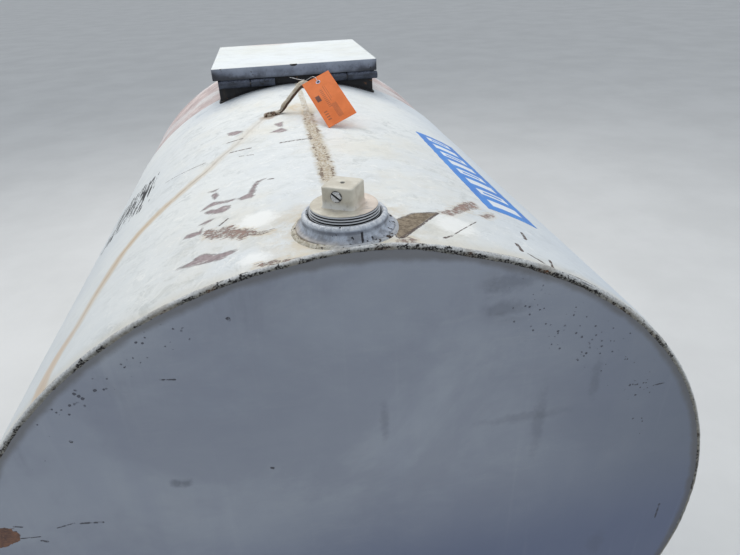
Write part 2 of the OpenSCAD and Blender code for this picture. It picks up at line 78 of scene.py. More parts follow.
def ripple(places, size, seed, waves=7):
    """A smooth height from about -1 to 1: sine waves about size long, in random directions."""
    chance = np.random.default_rng(seed)
    way = chance.normal(size=(waves, places.shape[-1]))
    way *= (2 * pi / size / chance.uniform(0.7, 1.5, waves) / np.linalg.norm(way, axis=1))[:, None]
    return np.sin(places @ way.T + chance.uniform(0, 2 * pi, waves)).sum(-1) / waves ** 0.5 * 0.8


def ease(value, low, high):
    """0 below low, 1 above high, and a smooth step between: 3t squared less 2t cubed."""
    t = np.clip((value - low) / (high - low), 0, 1)
    return t * t * (3 - 2 * t)


def on_shell(s, y, radius=shell_r, lift=0.0):
    """A point of the unrolled shell bent round the axis: s is the way round from the top, to the right."""
    turn = s / radius
    r = radius + lift
    return np.stack([r * np.sin(turn), y + 0 * turn, axis_z + r * np.cos(turn)], -1)


def rolled_wave(s, y, radius, flat_half, ends):
    """How far the rolled plate lies inside a true cylinder: long waves, none at its ends or the fittings."""
    places = on_shell(s, y, radius)
    waves = 0.6 + 0.5 * ripple(places, 0.55, 11) + 0.35 * ripple(places, 0.22, 12)
    calm = ease(np.abs(s), flat_half, flat_half + 0.12) * ease(y, ends[0], ends[0] + 0.07)
    return -0.0011 * np.clip(waves, 0, 2) * calm * ease(ends[1] - y, 0.0, 0.07)


def weld_pull(s):
    """How far the rim's weld has drawn the plate in: 2.8 mm, easing to nothing beside the bung."""
    return 0.0028 * ease(np.abs(s - pull_mid), pull_near, pull_far)


def edge_distance(s, y, outline):
    """Distance to a closed outline: the least distance to its sides, and less than 0 inside."""
    least, inside = np.full(s.shape, 9.0), np.zeros(s.shape, bool)
    for (s0, y0), (s1, y1) in zip(outline, outline[1:] + outline[:1]):
        ds, dy = s1 - s0, y1 - y0
        t = np.clip(((s - s0) * ds + (y - y0) * dy) / (ds * ds + dy * dy), 0, 1)
        least = np.minimum(least, np.hypot(s - s0 - t * ds, y - y0 - t * dy))
        crossing = (y0 > y) != (y1 > y)
        inside ^= crossing & (s < s0 + (y - y0) * ds / (dy if dy else 1))
    return np.where(inside, -least, least)


def run_distance(s, y, line):
    """Distance to an open line of points, and where along it the nearest place is, from 0 to 1."""
    least, along = np.full(s.shape, 9.0), np.zeros(s.shape)
    for i, ((s0, y0), (s1, y1)) in enumerate(zip(line, line[1:])):
        ds, dy = s1 - s0, y1 - y0
        t = np.clip(((s - s0) * ds + (y - y0) * dy) / (ds * ds + dy * dy), 0, 1)
        far = np.hypot(s - s0 - t * ds, y - y0 - t * dy)
        along = np.where(far < least, (i + t) / (len(line) - 1), along)
        least = np.minimum(least, far)
    return least, along


def woven_faces(rows, columns, round_rows=False, round_columns=False):
    """The quads of a grid of points, with its rows or its columns closed into rings where asked."""
    i, j = np.meshgrid(np.arange(rows if round_rows else rows - 1),
                       np.arange(columns if round_columns else columns - 1), indexing="ij")
    i2, j2 = (i + 1) % rows, (j + 1) % columns
    corners = [i * columns + j, i2 * columns + j, i2 * columns + j2, i * columns + j2]
    return np.stack(corners, -1).reshape(-1, 4)


def slab(front, back, keep=None, ring=False):
    """A sheet between two grids of points: both skins, and a wall where a kept cell has no kept neighbour."""
    rows, columns = front.shape[:2]
    cell_rows = rows if ring else rows - 1
    keep = np.ones((cell_rows, columns - 1), bool) if keep is None else keep
    skin = woven_faces(rows, columns, ring)[keep.ravel()]
    shift = rows * columns
    faces = [skin, skin[:, ::-1] + shift]
    i, j = np.nonzero(keep)
    for di, dj, p, q in ((0, -1, 0, 1), (1, 0, 1, 2), (0, 1, 2, 3), (-1, 0, 3, 0)):
        ni, nj = i + di, j + dj
        if ring:
            ni = ni % cell_rows
        inside = (ni >= 0) & (ni < cell_rows) & (nj >= 0) & (nj < columns - 1)
        kept = np.zeros(len(i), bool)
        kept[inside] = keep[ni[inside], nj[inside]]
        a, b = skin[~kept, p], skin[~kept, q]
        faces.append(np.stack([b, a, a + shift, b + shift], 1))
    return np.concatenate([front.reshape(-1, 3), back.reshape(-1, 3)]), faces


def piece(name, node, shape, finishes, marks=None, unrolled=None, second=None, body="tank", crease=35):
    """A mesh object that stands for a CAD node, with its faces turned outwards by the volume's sign."""
    corners, faces = shape
    volume = sum(np.einsum("ij,ij->", corners[f[:, 0]], np.cross(corners[f[:, k]], corners[f[:, k + 1]]))
                 for f in faces for k in range(1, f.shape[1] - 1))
    faces = [f[:, ::-1] for f in faces] if volume < 0 else faces
    used = np.unique(np.concatenate([f.ravel() for f in faces]))
    renumber = np.zeros(len(corners), int)
    renumber[used] = np.arange(len(used))
    mesh = bpy.data.meshes.new(name)
    mesh.from_pydata(corners[used].tolist(), [], [row for f in faces for row in renumber[f].tolist()])
    for finish in finishes:
        mesh.materials.append(finish)
    if second is not None:
        kinds = np.concatenate([np.full(len(f), int(k in second)) for k, f in enumerate(faces)])
        mesh.polygons.foreach_set("material_index", kinds.astype(np.int32))
    for mark, values in (marks or {}).items():
        full = np.full(len(corners), 9.0)
        full[:values.size] = values.ravel()
        mesh.attributes.new(mark, "FLOAT", "POINT").data.foreach_set("value", full[used].astype(np.float32))
    if unrolled is not None:
        full = np.zeros((len(corners), 2))
        full[:len(unrolled)] = unrolled
        corner_of = np.zeros(len(mesh.loops), np.int32)
        mesh.loops.foreach_get("vertex_index", corner_of)
        flat = full[used][corner_of].astype(np.float32)
        mesh.uv_layers.new(name="unrolled").data.foreach_set("uv", flat.ravel())
    mesh.shade_smooth()
    mesh.set_sharp_from_angle(angle=radians(crease))
    made = bpy.data.objects.new(name, mesh)
    bpy.context.scene.collection.objects.link(made)
    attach(made, body)
    if node:
        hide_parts(*([node] if isinstance(node, str) else node))
    return made


def colour(red, green, blue):
    """The linear colour of an 8-bit display colour: its share of 255 to the power 2.2."""
    return (*((c / 255) ** 2.2 for c in (red, green, blue)), 1.0)


class Value:
    """An output of a graph. Arithmetic with values, or with values and numbers, adds math nodes to it."""

    def __init__(self, graph, socket):
        self.graph, self.socket = graph, socket

    def __add__(self, other):
        return self.graph.math("ADD", self, other)

    def __radd__(self, other):
        return self.graph.math("ADD", other, self)

    def __sub__(self, other):
        return self.graph.math("SUBTRACT", self, other)

    def __rsub__(self, other):
        return self.graph.math("SUBTRACT", other, self)

    def __mul__(self, other):
        return self.graph.math("MULTIPLY", self, other)

    def __truediv__(self, other):
        return self.graph.math("DIVIDE", self, other)

    def __rtruediv__(self, other):
        return self.graph.math("DIVIDE", other, self)

    def __abs__(self):
        return self.graph.math("ABSOLUTE", self)


class Outputs:
    """The outputs of one node, by number or by name."""

    def __init__(self, graph, sockets):
        self.graph, self.sockets = graph, sockets

    def __getitem__(self, which):
        return Value(self.graph, self.sockets[which])


class Graph:
    """A shader graph, with one short step for each kind of node that the tank's finishes are built from."""

    def __init__(self, tree):
        self.tree = tree

    def feed(self, target, value):
        if isinstance(value, Value):
            self.tree.links.new(value.socket, target)
        elif value is not None:
            target.default_value = value

    def add(self, kind, settings=None, **sockets):
        """A new node. Settings are its own properties, and each socket gets a number or a value."""
        made = self.tree.nodes.new("ShaderNode" + kind)
        for name, value in (settings or {}).items():
            setattr(made, name, value)
        for name, value in sockets.items():
            self.feed(made.inputs[int(name[1:]) if name[0] == "_" else name.replace("_", " ")], value)
        return Outputs(self, made.outputs)

    def math(self, operation, a, b=0.0):
        return self.add("Math", {"operation": operation}, _0=a, _1=b)[0]

    def most(self, a, b):
        return self.math("MAXIMUM", a, b)

    def least(self, a, b):
        return self.math("MINIMUM", a, b)

    def length(self, a, b):
        return self.math("SQRT", self.math("POWER", a, 2.0) + self.math("POWER", b, 2.0))

    def level(self, value, low, high, to_low=0.0, to_high=1.0):
        """Carries low..high to to_low..to_high by a smooth step, and holds it beyond."""
        return self.add("MapRange", {"interpolation_type": "SMOOTHSTEP"},
                        _0=value, _1=low, _2=high, _3=to_low, _4=to_high)[0]

    def blend(self, share, first, second):
        """Colours are values, or three numbers from 0 to 255."""
        first, second = (colour(*tone) if isinstance(tone, tuple) else tone for tone in (first, second))
        return self.add("Mix", {"data_type": "RGBA"}, _0=share, _6=first, _7=second)[2]

    def noise(self, scale, detail=4.0, rough=0.55, warp=0.0, at=None):
        return self.add("TexNoise", Vector=at or self.place, Scale=scale, Detail=detail,
                        Roughness=rough, Distortion=warp)[0]

    def stretched(self, vector, x, y, z, turn=(0, 0, 0)):
        return self.add("Mapping", Vector=vector, Scale=(x, y, z), Rotation=turn)[0]

    def drawn(self, scales, detail=4.0, rough=0.55, warp=0.0, turn=(0, 0, 0)):
        """Noise with a scale of its own along each axis."""
        return self.noise(1.0, detail, rough, warp, self.stretched(self.place, *scales, turn))

    def mark(self, name):
        return self.add("Attribute", {"attribute_name": name})["Fac"]

    def axes(self, vector):
        parts = self.add("SeparateXYZ", Vector=vector)
        return parts[0], parts[1], parts[2]

    def use(self, group, **sockets):
        """An effect on this graph's own coordinates, or on those that it is given as its Vector."""
        made = self.tree.nodes.new("ShaderNodeGroup")
        made.node_tree = group
        for name, value in {"Vector": self.place, **sockets}.items():
            self.feed(made.inputs[name.replace("_", " ")], value)
        return Outputs(self, made.outputs)


class Finish(Graph):
    """A material: its graph, the object's own coordinates, the base colour so far, and the shader."""

    def __init__(self, name, metallic=0.0, specular=0.5):
        self.material = bpy.data.materials.new(name)
        self.material.use_nodes = True
        super().__init__(self.material.node_tree)
        self.shader = self.tree.nodes["Principled BSDF"].inputs
        self.shader["Metallic"].default_value = metallic
        self.shader["Specular IOR Level"].default_value = specular
        self.place = self.add("TexCoord")["Object"]
        self.x, self.y, self.z = self.axes(self.place)
        self.base = None

    def coat(self, share, *tone):
        """Lays a colour over the base colour, as strongly as the share says."""
        self.base = self.blend(share, self.base, tone if len(tone) == 3 else tone[0])

    def dress(self, roughness, height=None, depth=0.001, metallic=None):
        """Feeds the shader: base colour, roughness, metal, and a bump whose full height is depth metres."""
        self.feed(self.shader["Base Color"], self.base)
        self.feed(self.shader["Roughness"], roughness)
        self.feed(self.shader["Metallic"], metallic)
        if height is not None:
            bump = self.add("Bump", Strength=1.0, Distance=depth, Height=height)
            self.feed(self.shader["Normal"], bump[0])
        return self.material


class Effect(Graph):
    """A node group that several finishes share. It takes and gives values, masks and colours by name."""

    def __init__(self, name, **given):
        super().__init__(bpy.data.node_groups.new(name, "ShaderNodeTree"))
        for socket, value in {"Vector": None, **given}.items():
            kind = "Vector" if value is None else "Color" if isinstance(value, tuple) else "Float"
            made = self.tree.interface.new_socket(socket.replace("_", " "), in_out="INPUT",
                                                  socket_type="NodeSocket" + kind)
            if value is not None:
                made.default_value = value
        self.given = Outputs(self, self.tree.nodes.new("NodeGroupInput").outputs)
        self.place = self.given["Vector"]

    def give(self, **results):
        for name, value in results.items():
            kind = "Color" if value.socket.type == "RGBA" else "Float"
            self.tree.interface.new_socket(name, in_out="OUTPUT", socket_type="NodeSocket" + kind)
        end = self.tree.nodes.new("NodeGroupOutput")
        for name, value in results.items():
            self.feed(end.inputs[name], value)
        return self.tree


# Ragged edge: turns the distance to an outline into a torn patch of paint, with a thin line round it for the
# painted shadow of the torn lip
e = Effect("Ragged edge", Distance=9.0, Raggedness=0.01, Grain=60.0, Softness=0.0006)
fibres = e.stretched(e.place, 0.6, 2.4, 0.6)
torn = e.noise(e.given["Grain"], 7, 0.7, at=fibres) - 0.5
reach = e.given["Distance"] + torn * e.given["Raggedness"]
soft = e.given["Softness"]
inside = e.level(reach, soft, soft * -1)
lip = 1 - e.level(abs(reach - 0.0012), 0, 0.0018)
ragged_edge = e.give(Inside=inside, Lip=lip)

# Chips: small dark spots where fine noise passes a limit that a slow noise and the amount move
e = Effect("Chips", Size=0.004, Amount=0.5)
fine = e.noise(0.6 / e.given["Size"], 3, 0.6)
slow = e.noise(0.09 / e.given["Size"], 2, 0.5)
both = fine + (slow - 0.5) * 0.7
limit = 0.95 - e.given["Amount"] * 0.5
chips = e.give(Mask=e.level(both, limit, limit + 0.03))

# Old rust: dark brown to orange brown by a rough noise, with a scaly height
e = Effect("Old rust", Scale=40.0)
scale_noise = e.noise(e.given["Scale"], 8, 0.68)
fleck = e.noise(e.given["Scale"] * 5, 4, 0.6)
warm = e.blend(e.level(scale_noise, 0.35, 0.62), (60, 42, 34), (134, 92, 62))
old_rust = e.give(Color=e.blend(e.level(fleck, 0.52, 0.75), warm, (168, 122, 84)), Height=scale_noise)

# Chalked paint: slow cloudy tones, smudges and broken streaks drawn out one way, fine pits and an orange peel
e = Effect("Chalked paint", Clean=(1, 1, 1, 1), Dull=(1, 1, 1, 1), Streak=(1, 1, 1, 1),
           Streaks=0.4, Scale=1.0)
clouds = e.noise(e.given["Scale"] * 3.2, 5, 0.62)
patchy = e.level(e.noise(e.given["Scale"] * 8, 3), 0.4, 0.62)
smudge = e.noise(e.given["Scale"], 6, 0.74, 0.5, at=e.stretched(e.place, 17, 40, 17))
wiped = e.noise(e.given["Scale"], 6, 0.72, 0.25, at=e.stretched(e.place, 9, 60, 9))
scrub = e.noise(e.given["Scale"], 4, 0.7, 0.3, at=e.stretched(e.place, 34, 200, 34))
tone = e.blend(e.level(clouds, 0.32, 0.68), e.given["Clean"], e.given["Dull"])
tone = e.blend(e.level(smudge, 0.44, 0.7) * e.given["Streaks"], tone, e.given["Streak"])
lines = e.level(wiped + scrub * 0.5, 0.74, 0.95)
lines = lines * patchy * e.given["Streaks"]
pits = e.level(e.noise(e.given["Scale"] * 210, 4, 0.6), 0.62, 0.7)
tone = e.blend(pits * patchy * 0.45, tone, e.given["Streak"])
chalk = e.give(Color=e.blend(lines, tone, e.given["Streak"]), Lines=lines,
               Height=e.noise(e.given["Scale"] * 420, 2, 0.5))

# Scratch: a straight line of a given width between two places of a flat map, broken up by noise
e = Effect("Scratch", Start_S=0.0, Start_Y=0.0, Run_S=0.1, Run_Y=0.0, Width=0.002)
where = e.add("SeparateXYZ", Vector=e.place)
rs, ry = where[0] - e.given["Start S"], where[1] - e.given["Start Y"]
square = e.given["Run S"] * e.given["Run S"] + e.given["Run Y"] * e.given["Run Y"]
dot = rs * e.given["Run S"] + ry * e.given["Run Y"]
share = e.least(e.most(dot / square, 0), 1)
off_s = rs - share * e.given["Run S"]
off_y = ry - share * e.given["Run Y"]
off = e.length(off_s, off_y)
shake = e.noise(120, 3) * e.given["Width"]
broken = e.level(e.noise(170, 4, 0.7), 0.42, 0.49, 0.15, 1)
line = e.level(off - shake, e.given["Width"] * 0.15, 0)
scratch = e.give(Mask=line * broken)


def scratched(finish, where, marks):
    """The mask of a set of scratches, each given by its start, its end and its width in millimetres."""
    mask = None
    for s0, y0, s1, y1, width in marks:
        one = finish.use(scratch, Vector=where, Start_S=s0 / 1000, Start_Y=y0 / 1000, Run_S=(s1 - s0) / 1000,
                         Run_Y=(y1 - y0) / 1000, Width=width / 1000)["Mask"]
        mask = one if mask is None else finish.most(mask, one)
    return mask


# Where the paint has peeled to the primer, left of the bung and before the lug, as outlines in millimetres
mauve_peels = [
    [(-228, -693), (-214, -690), (-204, -688), (-200, -682), (-191, -680), (-181, -688), (-171, -699),
     (-159, -702), (-142, -707), (-162, -716), (-176, -713), (-193, -706), (-205, -702)],
    [(-202, -526), (-194, -526), (-180, -535), (-172, -532), (-158, -541), (-161, -554), (-170, -556),
     (-192, -541)],
    [(-209, -513), (-200, -501), (-191, -497), (-173, -509), (-153, -519), (-138, -534), (-122, -538),
     (-120, -530), (-128, -518), (-152, -524), (-170, -518), (-186, -511), (-197, -511)],
    [(-100, -469), (-116, -471), (-122, -487), (-126, -505), (-130, -519), (-120, -520), (-118, -496),
     (-111, -477)],
    [(-229, -596), (-226, -586), (-217, -589), (-204, -597), (-200, -584), (-201, -606), (-216, -604)],
    [(-208, -570), (-199, -566), (-182, -568), (-192, -573), (-202, -573)],
    [(-204, -436), (-185, -441), (-191, -446)],
    [(-195, -458), (-189, -455), (-182, -472), (-187, -486), (-191, -473)],
    [(-184, -88), (-159, -103), (-146, -122), (-164, -129), (-178, -114)],
    [(-86, -194), (-63, -178), (-50, -201), (-64, -209)],
    [(-75, -134), (-58, -127), (-61, -169), (-68, -160)],
]
rusty_peels = [
    [(-197, -603), (-189, -604), (-175, -619), (-163, -617), (-151, -626), (-147, -638), (-136, -645),
     (-120, -661), (-112, -673), (-92, -679), (-111, -682), (-127, -674), (-139, -676), (-154, -660),
     (-173, -648), (-189, -632)],
    [(140, -660), (172, -630), (198, -598), (226, -578), (222, -604), (190, -632), (160, -664)],
    [(214, -638), (246, -612), (242, -626), (222, -645)],
    [(-116, -762), (-96, -764), (-62, -768), (-75, -772), (-110, -772)],
    [(56, -761), (74, -750), (84, -764), (60, -768)],
]
torn_filler = [(69, -696), (85, -683), (95, -674), (111, -667), (138, -661), (115, -688), (96, -712),
               (71, -746), (62, -752), (58, -745), (66, -725), (64, -709)]
lug_run = [(-92, -52), (-125, -123), (-160, -212), (-192, -260), (-217, -311), (-250, -346), (-275, -373),
           (-307, -402), (-342, -436), (-372, -480), (-398, -570), (-412, -650), (-433, -700), (-442, -770)]


def metres(points):
    return [(s / 1000, y / 1000) for s, y in points]


half_round = pi * shell_r
front_flat, front_ends = 0.10, (front_y, lap_y)
shell_s = steps((-half_round, 1), (-0.56, 0.026), (0.40, 0.0046), (half_round, 0.026))[:-1]
shell_y = steps((front_y + head_t, 1), (lap_y - 0.0025, 0.0056), (lap_y, 0.001))
s, y = np.meshgrid(shell_s, shell_y, indexing="ij")
drawn_in = weld_pull(s) * np.exp(-((y - front_y) / 0.020) ** 2)
outer = on_shell(s, y, shell_r, rolled_wave(s, y, shell_r, front_flat, front_ends) - drawn_in)
rolled_edge = on_shell(shell_s, lap_y, shell_r, -plate_t)
rolled_start = on_shell(shell_s, front_y + head_t, shell_r, -plate_t)
rows = np.concatenate([outer, rolled_edge[:, None], rolled_start[:, None]], 1)
loops = woven_faces(len(shell_s), rows.shape[1], True, True).reshape(len(shell_s), -1, 4)
front_course = (rows.reshape(-1, 3), [loops[:, :-2].reshape(-1, 4), loops[:, -2:].reshape(-1, 4)])


def with_ends(values, far=9.0):
    """Values of the outer skin, with two more columns for the plate's edge and its inner face."""
    return np.concatenate([values, np.full((len(values), 2), far)], 1)


mauve = np.minimum.reduce([edge_distance(s, y, metres(o)) for o in mauve_peels])
rusty = np.minimum.reduce([edge_distance(s, y, metres(o)) for o in rusty_peels])
run_off, run_along = run_distance(s, y, metres(lug_run))

f = Finish("Tank enamel", specular=0.35)
flat = f.add("UVMap", {"uv_map": "unrolled"})[0]
around, along, _ = f.axes(flat)
paint = f.use(chalk, Clean=colour(223, 225, 222), Dull=colour(212, 216, 217), Streak=colour(192, 194, 192),
              Streaks=0.13, Scale=1.0)
crown = f.level(abs(around), 0.4, 0.1)
upper = f.level(abs(around), 0.42, 0.26, 0.25, 1)
# Clouds and chalk, and painted shade: bluer and darker down the flanks and to the right
mottle = f.level(f.noise(30, 7, 0.76, 0.6), 0.47, 0.64)
patchy = f.level(f.noise(7, 4, 0.6), 0.4, 0.6, 0.35, 1)
f.base = f.blend(mottle * patchy * upper * 0.72, paint["Color"], (186, 190, 188))
white = f.level(f.noise(55, 7, 0.78, 1), 0.52, 0.66)
f.coat(white * upper * 0.6, 238, 238, 234)
speck = f.level(f.noise(170, 5, 0.75), 0.58, 0.7)
f.coat(speck * patchy * upper * 0.5, 168, 168, 164)
cream = f.level(f.noise(5, 5, 0.65), 0.45, 0.7) * crown
f.coat(cream * 0.55, 220, 214, 198)
right_shade = f.level(around, 0.1, 0.6)
f.coat(right_shade * 0.6, 198, 209, 222)
flank = f.level(abs(around), 0.4, 1)
f.coat(flank * 0.55, 190, 201, 212)
# Painted shadow of the hatch box on the shell before it, blue-grey and uneven
box_shadow = f.level(along, 0.1, 0.27) * f.level(abs(around), 0.42, 0.24)
f.coat(box_shadow * f.level(mottle, 0, 1, 0.35, 0.6), 176, 186, 198)
# A stained ring and fresh splashes of white round the bung
near_bung = f.length(around, along - bung_y)
halo = f.level(near_bung, 0.135, 0.064) * f.level(f.noise(22, 5, 0.7), 0.34, 0.62)
f.coat(halo * 0.75, 196, 180, 150)
splash = f.noise(48, 7, 0.75) * 0.055
for spot_s, spot_y, spot_r in ((-0.115, -0.628, 0.050), (0.150, -0.700, 0.052), (-0.120, -0.745, 0.040)):
    fresh = f.length(around - spot_s, along - spot_y)
    fresh = f.level(fresh + splash, spot_r + 0.014, spot_r - 0.004, 0, 0.75)
    f.coat(fresh, 240, 240, 236)
# Cream along the front rim, and painted shade as a dark edge in the groove where the weld draws the plate in,
# stopping beside the bung
before_rim = f.level(along + f.noise(30, 5) * 0.02, front_y + 0.040, front_y + 0.010)
f.coat(before_rim * 0.5, 205, 197, 178)
at_rim = f.level(along + f.noise(120, 6, 0.75) * 0.014, front_y + 0.012, front_y + 0.009)
beside_bung = f.level(abs(around - pull_mid), pull_near, pull_far)
f.coat(at_rim * beside_bung * 0.8, 66, 62, 56)
# Stains beside the long seam and under the lug
seam_way = abs(around) + f.noise(75, 7, 0.75) * 0.03
seam_long = f.level(along, -0.58, -0.52) * f.level(along, 0.02, -0.1)
seam_stain = f.level(seam_way, 0.034, 0.023) * seam_long
rust = f.use(old_rust, Scale=45)
f.coat(seam_stain * 0.8, 190, 176, 152)
flecks = f.use(chips, Size=0.0034, Amount=seam_stain * 0.7 + 0.16)
f.coat(flecks["Mask"] * 0.85, 112, 94, 78)
under_lug = f.length(around + 0.012, (along + 0.03) * 0.8)
lug_stain = f.level(under_lug, 0.062, 0.03) * f.level(mottle, 0, 0.8, 0.5, 0.9)
f.coat(lug_stain, 203, 188, 160)
at_foot = f.length(abs(around) - 0.086, along + 0.058)
foot_rust = at_foot + f.noise(60, 6, 0.7) * 0.03
f.coat(f.level(foot_rust, 0.044, 0.026, 0, 0.75), 128, 98, 72)
# The run of rust from the lug's left foot down to the left and the front
run_noise = f.drawn((30, 6, 30), 5, 0.7)
run_width = f.mark("run_off") + (run_noise - 0.5) * 0.016
run_core = f.level(run_width, 0.006, 0.001) * f.level(run_noise, 0.36, 0.56, 0.25, 1)
run_wide = f.level(run_width, 0.021, 0.007)
run_dark = f.level(abs(f.mark("run_along") - 0.52), 0.46, 0.1)
run_tone = f.blend(f.level(f.mark("run_along"), 0.25, 0.62), (205, 195, 178), (199, 178, 148))
f.coat(run_wide * (0.35 + run_dark * 0.4), run_tone)
core_tone = f.blend(f.level(f.mark("run_along"), 0.3, 0.6), (146, 132, 116), (172, 142, 110))
f.coat(run_core * (0.35 + run_dark * 0.35), core_tone)
strand = f.level(f.noise(1, 4, 0.7, at=f.stretched(flat, 95, 7, 1, (0, 0, radians(33)))), 0.52, 0.6)
by_run = f.level(run_width, 0.03, 0.012) * f.level(f.mark("run_along"), 0.52, 0.2)
f.coat(strand * by_run * 0.18, 160, 148, 132)
run_end = run_wide * f.level(f.mark("run_along"), 0.82, 0.93)
f.coat(run_end * 0.55, 206, 180, 152)
# Peels down to the mauve primer, rusty peels, putty and scratches
torn = f.use(ragged_edge, Distance=f.mark("mauve"), Raggedness=0.016, Grain=110)
primer = f.blend(f.level(f.noise(160, 4), 0.4, 0.65), (162, 148, 148), (140, 127, 128))
primer = f.blend(f.level(f.drawn((40, 200, 40), 4, 0.7), 0.58, 0.64), primer, (214, 212, 208))
f.coat(torn["Inside"], primer)
# Painted shadow along the torn edge of the paint round the primer
f.coat(torn["Lip"] * 0.55, 124, 114, 110)
rusted = f.use(ragged_edge, Distance=f.mark("rusty"), Raggedness=0.036, Grain=85)
rusted_part = rusted["Inside"] * f.level(f.noise(150, 6, 0.75), 0.38, 0.54)
scorch = f.use(ragged_edge, Distance=f.mark("rusty") - 0.006, Raggedness=0.05, Grain=90)
f.coat(scorch["Inside"] * f.level(mottle, 0, 1, 0.22, 0.55), 206, 188, 160)
f.coat(rusted_part, f.blend(0.72, rust["Color"], (158, 138, 132)))
filler = f.use(ragged_edge, Distance=f.mark("filler"), Raggedness=0.008, Grain=70)
putty = f.blend(f.level(f.noise(110, 7, 0.75), 0.35, 0.65), (100, 88, 74), (150, 136, 116))
f.coat(filler["Inside"], putty)
# A dark crack round the torn putty, with painted shadow under its lifted edge
f.coat(filler["Lip"], 66, 48, 38)
lines = scratched(f, flat, (
    (-67, -284, 2, -286, 5), (-170, -252, -128, -269, 4), (-325, -216, -225, -247, 2),
    (274, -664, 268, -690, 5), (236, -724, 234, -746, 5), (241, -750, 262, -766, 3),
    (120, -748, 135, -738, 3), (140, -732, 194, -671, 1.4), (-150, -300, -122, -318, 2),
    (277, -751, 272, -772, 4), (-180, -170, -146, -180, 4), (64, -751, 98, -713, 4),
    (98, -713, 138, -662, 3), (-172, -604, -160, -590, 3), (-96, -476, -88, -478, 3)))
f.coat(lines, 96, 84, 78)
# Broken dark dashes on the left flank, and grime on the underside
band = (f.level(around, -0.56, -0.48) * f.level(around, -0.335, -0.385) * f.level(along, -0.33, -0.26)
        * f.level(along, -0.02, -0.08))
dashes = f.noise(1, 3, 0.7, at=f.stretched(flat, 150, 10, 1))
worn = f.level(dashes + (band - 1) * 0.28, 0.49, 0.525)
f.coat(worn, 34, 32, 32)
under = f.level(f.z, 0.42, 0.2)
grime_and_shade = under * f.level(f.noise(9, 6, 0.7), 0.35, 0.62)
f.coat(grime_and_shade * 0.6, 128, 122, 114)
bare = f.most(torn["Inside"], f.most(filler["Inside"], rusted_part))
height = paint["Height"] * 0.06 + rust["Height"] * seam_stain
height = height - f.most(bare, lines) * 0.55
height = height + filler["Inside"] * rust["Height"] * 1.2
shell_enamel = f.dress(f.level(bare + seam_stain, 0, 1, 0.52, 0.82), height, 0.0012)

f = Finish("Oily inside", specular=0.5)
film = f.noise(6, 5, 0.6, 1.5)
f.base = f.blend(f.level(film, 0.35, 0.65), (38, 34, 31), (78, 66, 56))
inside_steel = f.dress(f.level(film, 0.3, 0.7, 0.18, 0.5), f.noise(60, 5, 0.6), 0.0006)

grid_lines = np.stack([s, y], -1)
unrolled = np.concatenate([grid_lines, grid_lines[:, -2:]], 1).reshape(-1, 2)
piece("front_course", "front_shell", front_course, (shell_enamel, inside_steel),
      {"mauve": with_ends(mauve), "rusty": with_ends(rusty), "run_off": with_ends(run_off),
       "run_along": with_ends(run_along), "filler": with_ends(edge_distance(s, y, metres(torn_filler)))},
      unrolled, second=(1,))

# Back course: the same plate 4 mm further in, its white enamel worn to a pinkish primer beside the hatch.
# A square hole is cut in it under the hatch.
hole_half, hole_front, hole_back = 0.145, 0.389, 0.679
hole_s = back_r * asin(hole_half / back_r)
back_half = pi * back_r
back_s = steps((-back_half, 1), (-0.60, 0.027), (-hole_s, 0.008), (hole_s, 0.010), (0.60, 0.008),
               (back_half, 0.027))[:-1]
back_lines = steps((lap_y - lap_l, 1), (hole_front, 0.010), (hole_back, 0.010), (back_y - head_t, 0.009))
s, y = np.meshgrid(back_s, back_lines, indexing="ij")
wave = rolled_wave(s, y, back_r, 0.24, (lap_y + 0.01, back_y))
mid_s, mid_y = (back_s + np.roll(back_s, -1)) / 2, (back_lines[1:] + back_lines[:-1]) / 2
keep = ~((np.abs(mid_s) < hole_s)[:, None] & ((mid_y > hole_front) & (mid_y < hole_back))[None])
keep[-1] = True
back_course = slab(on_shell(s, y, back_r, wave), on_shell(s, y, back_r, wave - plate_t), keep, ring=True)

f = Finish("Worn enamel", specular=0.35)
paint = f.use(chalk, Clean=colour(216, 217, 217), Dull=colour(206, 200, 198), Streak=colour(190, 174, 168),
              Streaks=0.45, Scale=1.1)
bald = f.drawn((4, 5, 4), 6, 0.58)
pink = f.blend(f.level(f.noise(14, 5), 0.35, 0.65), (202, 186, 182), (170, 152, 150))
side = f.level(abs(f.x), 0.1, 0.3)
share = f.level(bald, 0.36, 0.56) * (0.15 + side * 0.85)
f.base = f.blend(share, paint["Color"], pink)
fleck = f.level(f.noise(70, 7, 0.78, 0.8), 0.49, 0.6)
f.coat(fleck * side * 0.25, 112, 98, 98)
flake = f.level(f.noise(42, 7, 0.78, 1), 0.53, 0.62)
f.coat(flake * side * 0.35, 228, 226, 222)
spots = f.use(chips, Size=0.006, Amount=0.35)
f.coat(spots["Mask"] * 0.8, 116, 92, 82)
low = f.level(f.z, 0.42, 0.2) * f.level(f.noise(9, 6), 0.35, 0.62)
f.coat(low * 0.6, 128, 122, 114)
height = paint["Height"] * 0.06 - share * 0.3
worn_enamel = f.dress(f.level(share, 0, 1, 0.5, 0.7), height, 0.001)
piece("back_course", "back_shell", back_course, (worn_enamel, inside_steel), second=(1,))


# Heads: two flat discs of 5 mm plate that stand inside the shell's ends, slightly drummed between the welds.
# Their enamel is painted blue-grey as shade, darker than the shell's white, with faint scuffs, wiped stains
# and small dark chips.
def lofted(rings):
    """A closed skin over a stack of rings of points, with both ends closed to their middles."""
    count, n = rings.shape[:2]
    here, after, last = np.arange(n), (np.arange(n) + 1) % n, (count - 1) * n
    start = np.stack([np.full(n, count * n), here, after], 1)
    end = np.stack([np.full(n, count * n + 1), last + after, last + here], 1)
    points = np.concatenate([rings.reshape(-1, 3), rings[[0, -1]].mean(1)])
    return points, [woven_faces(count, n, False, True), start, end]


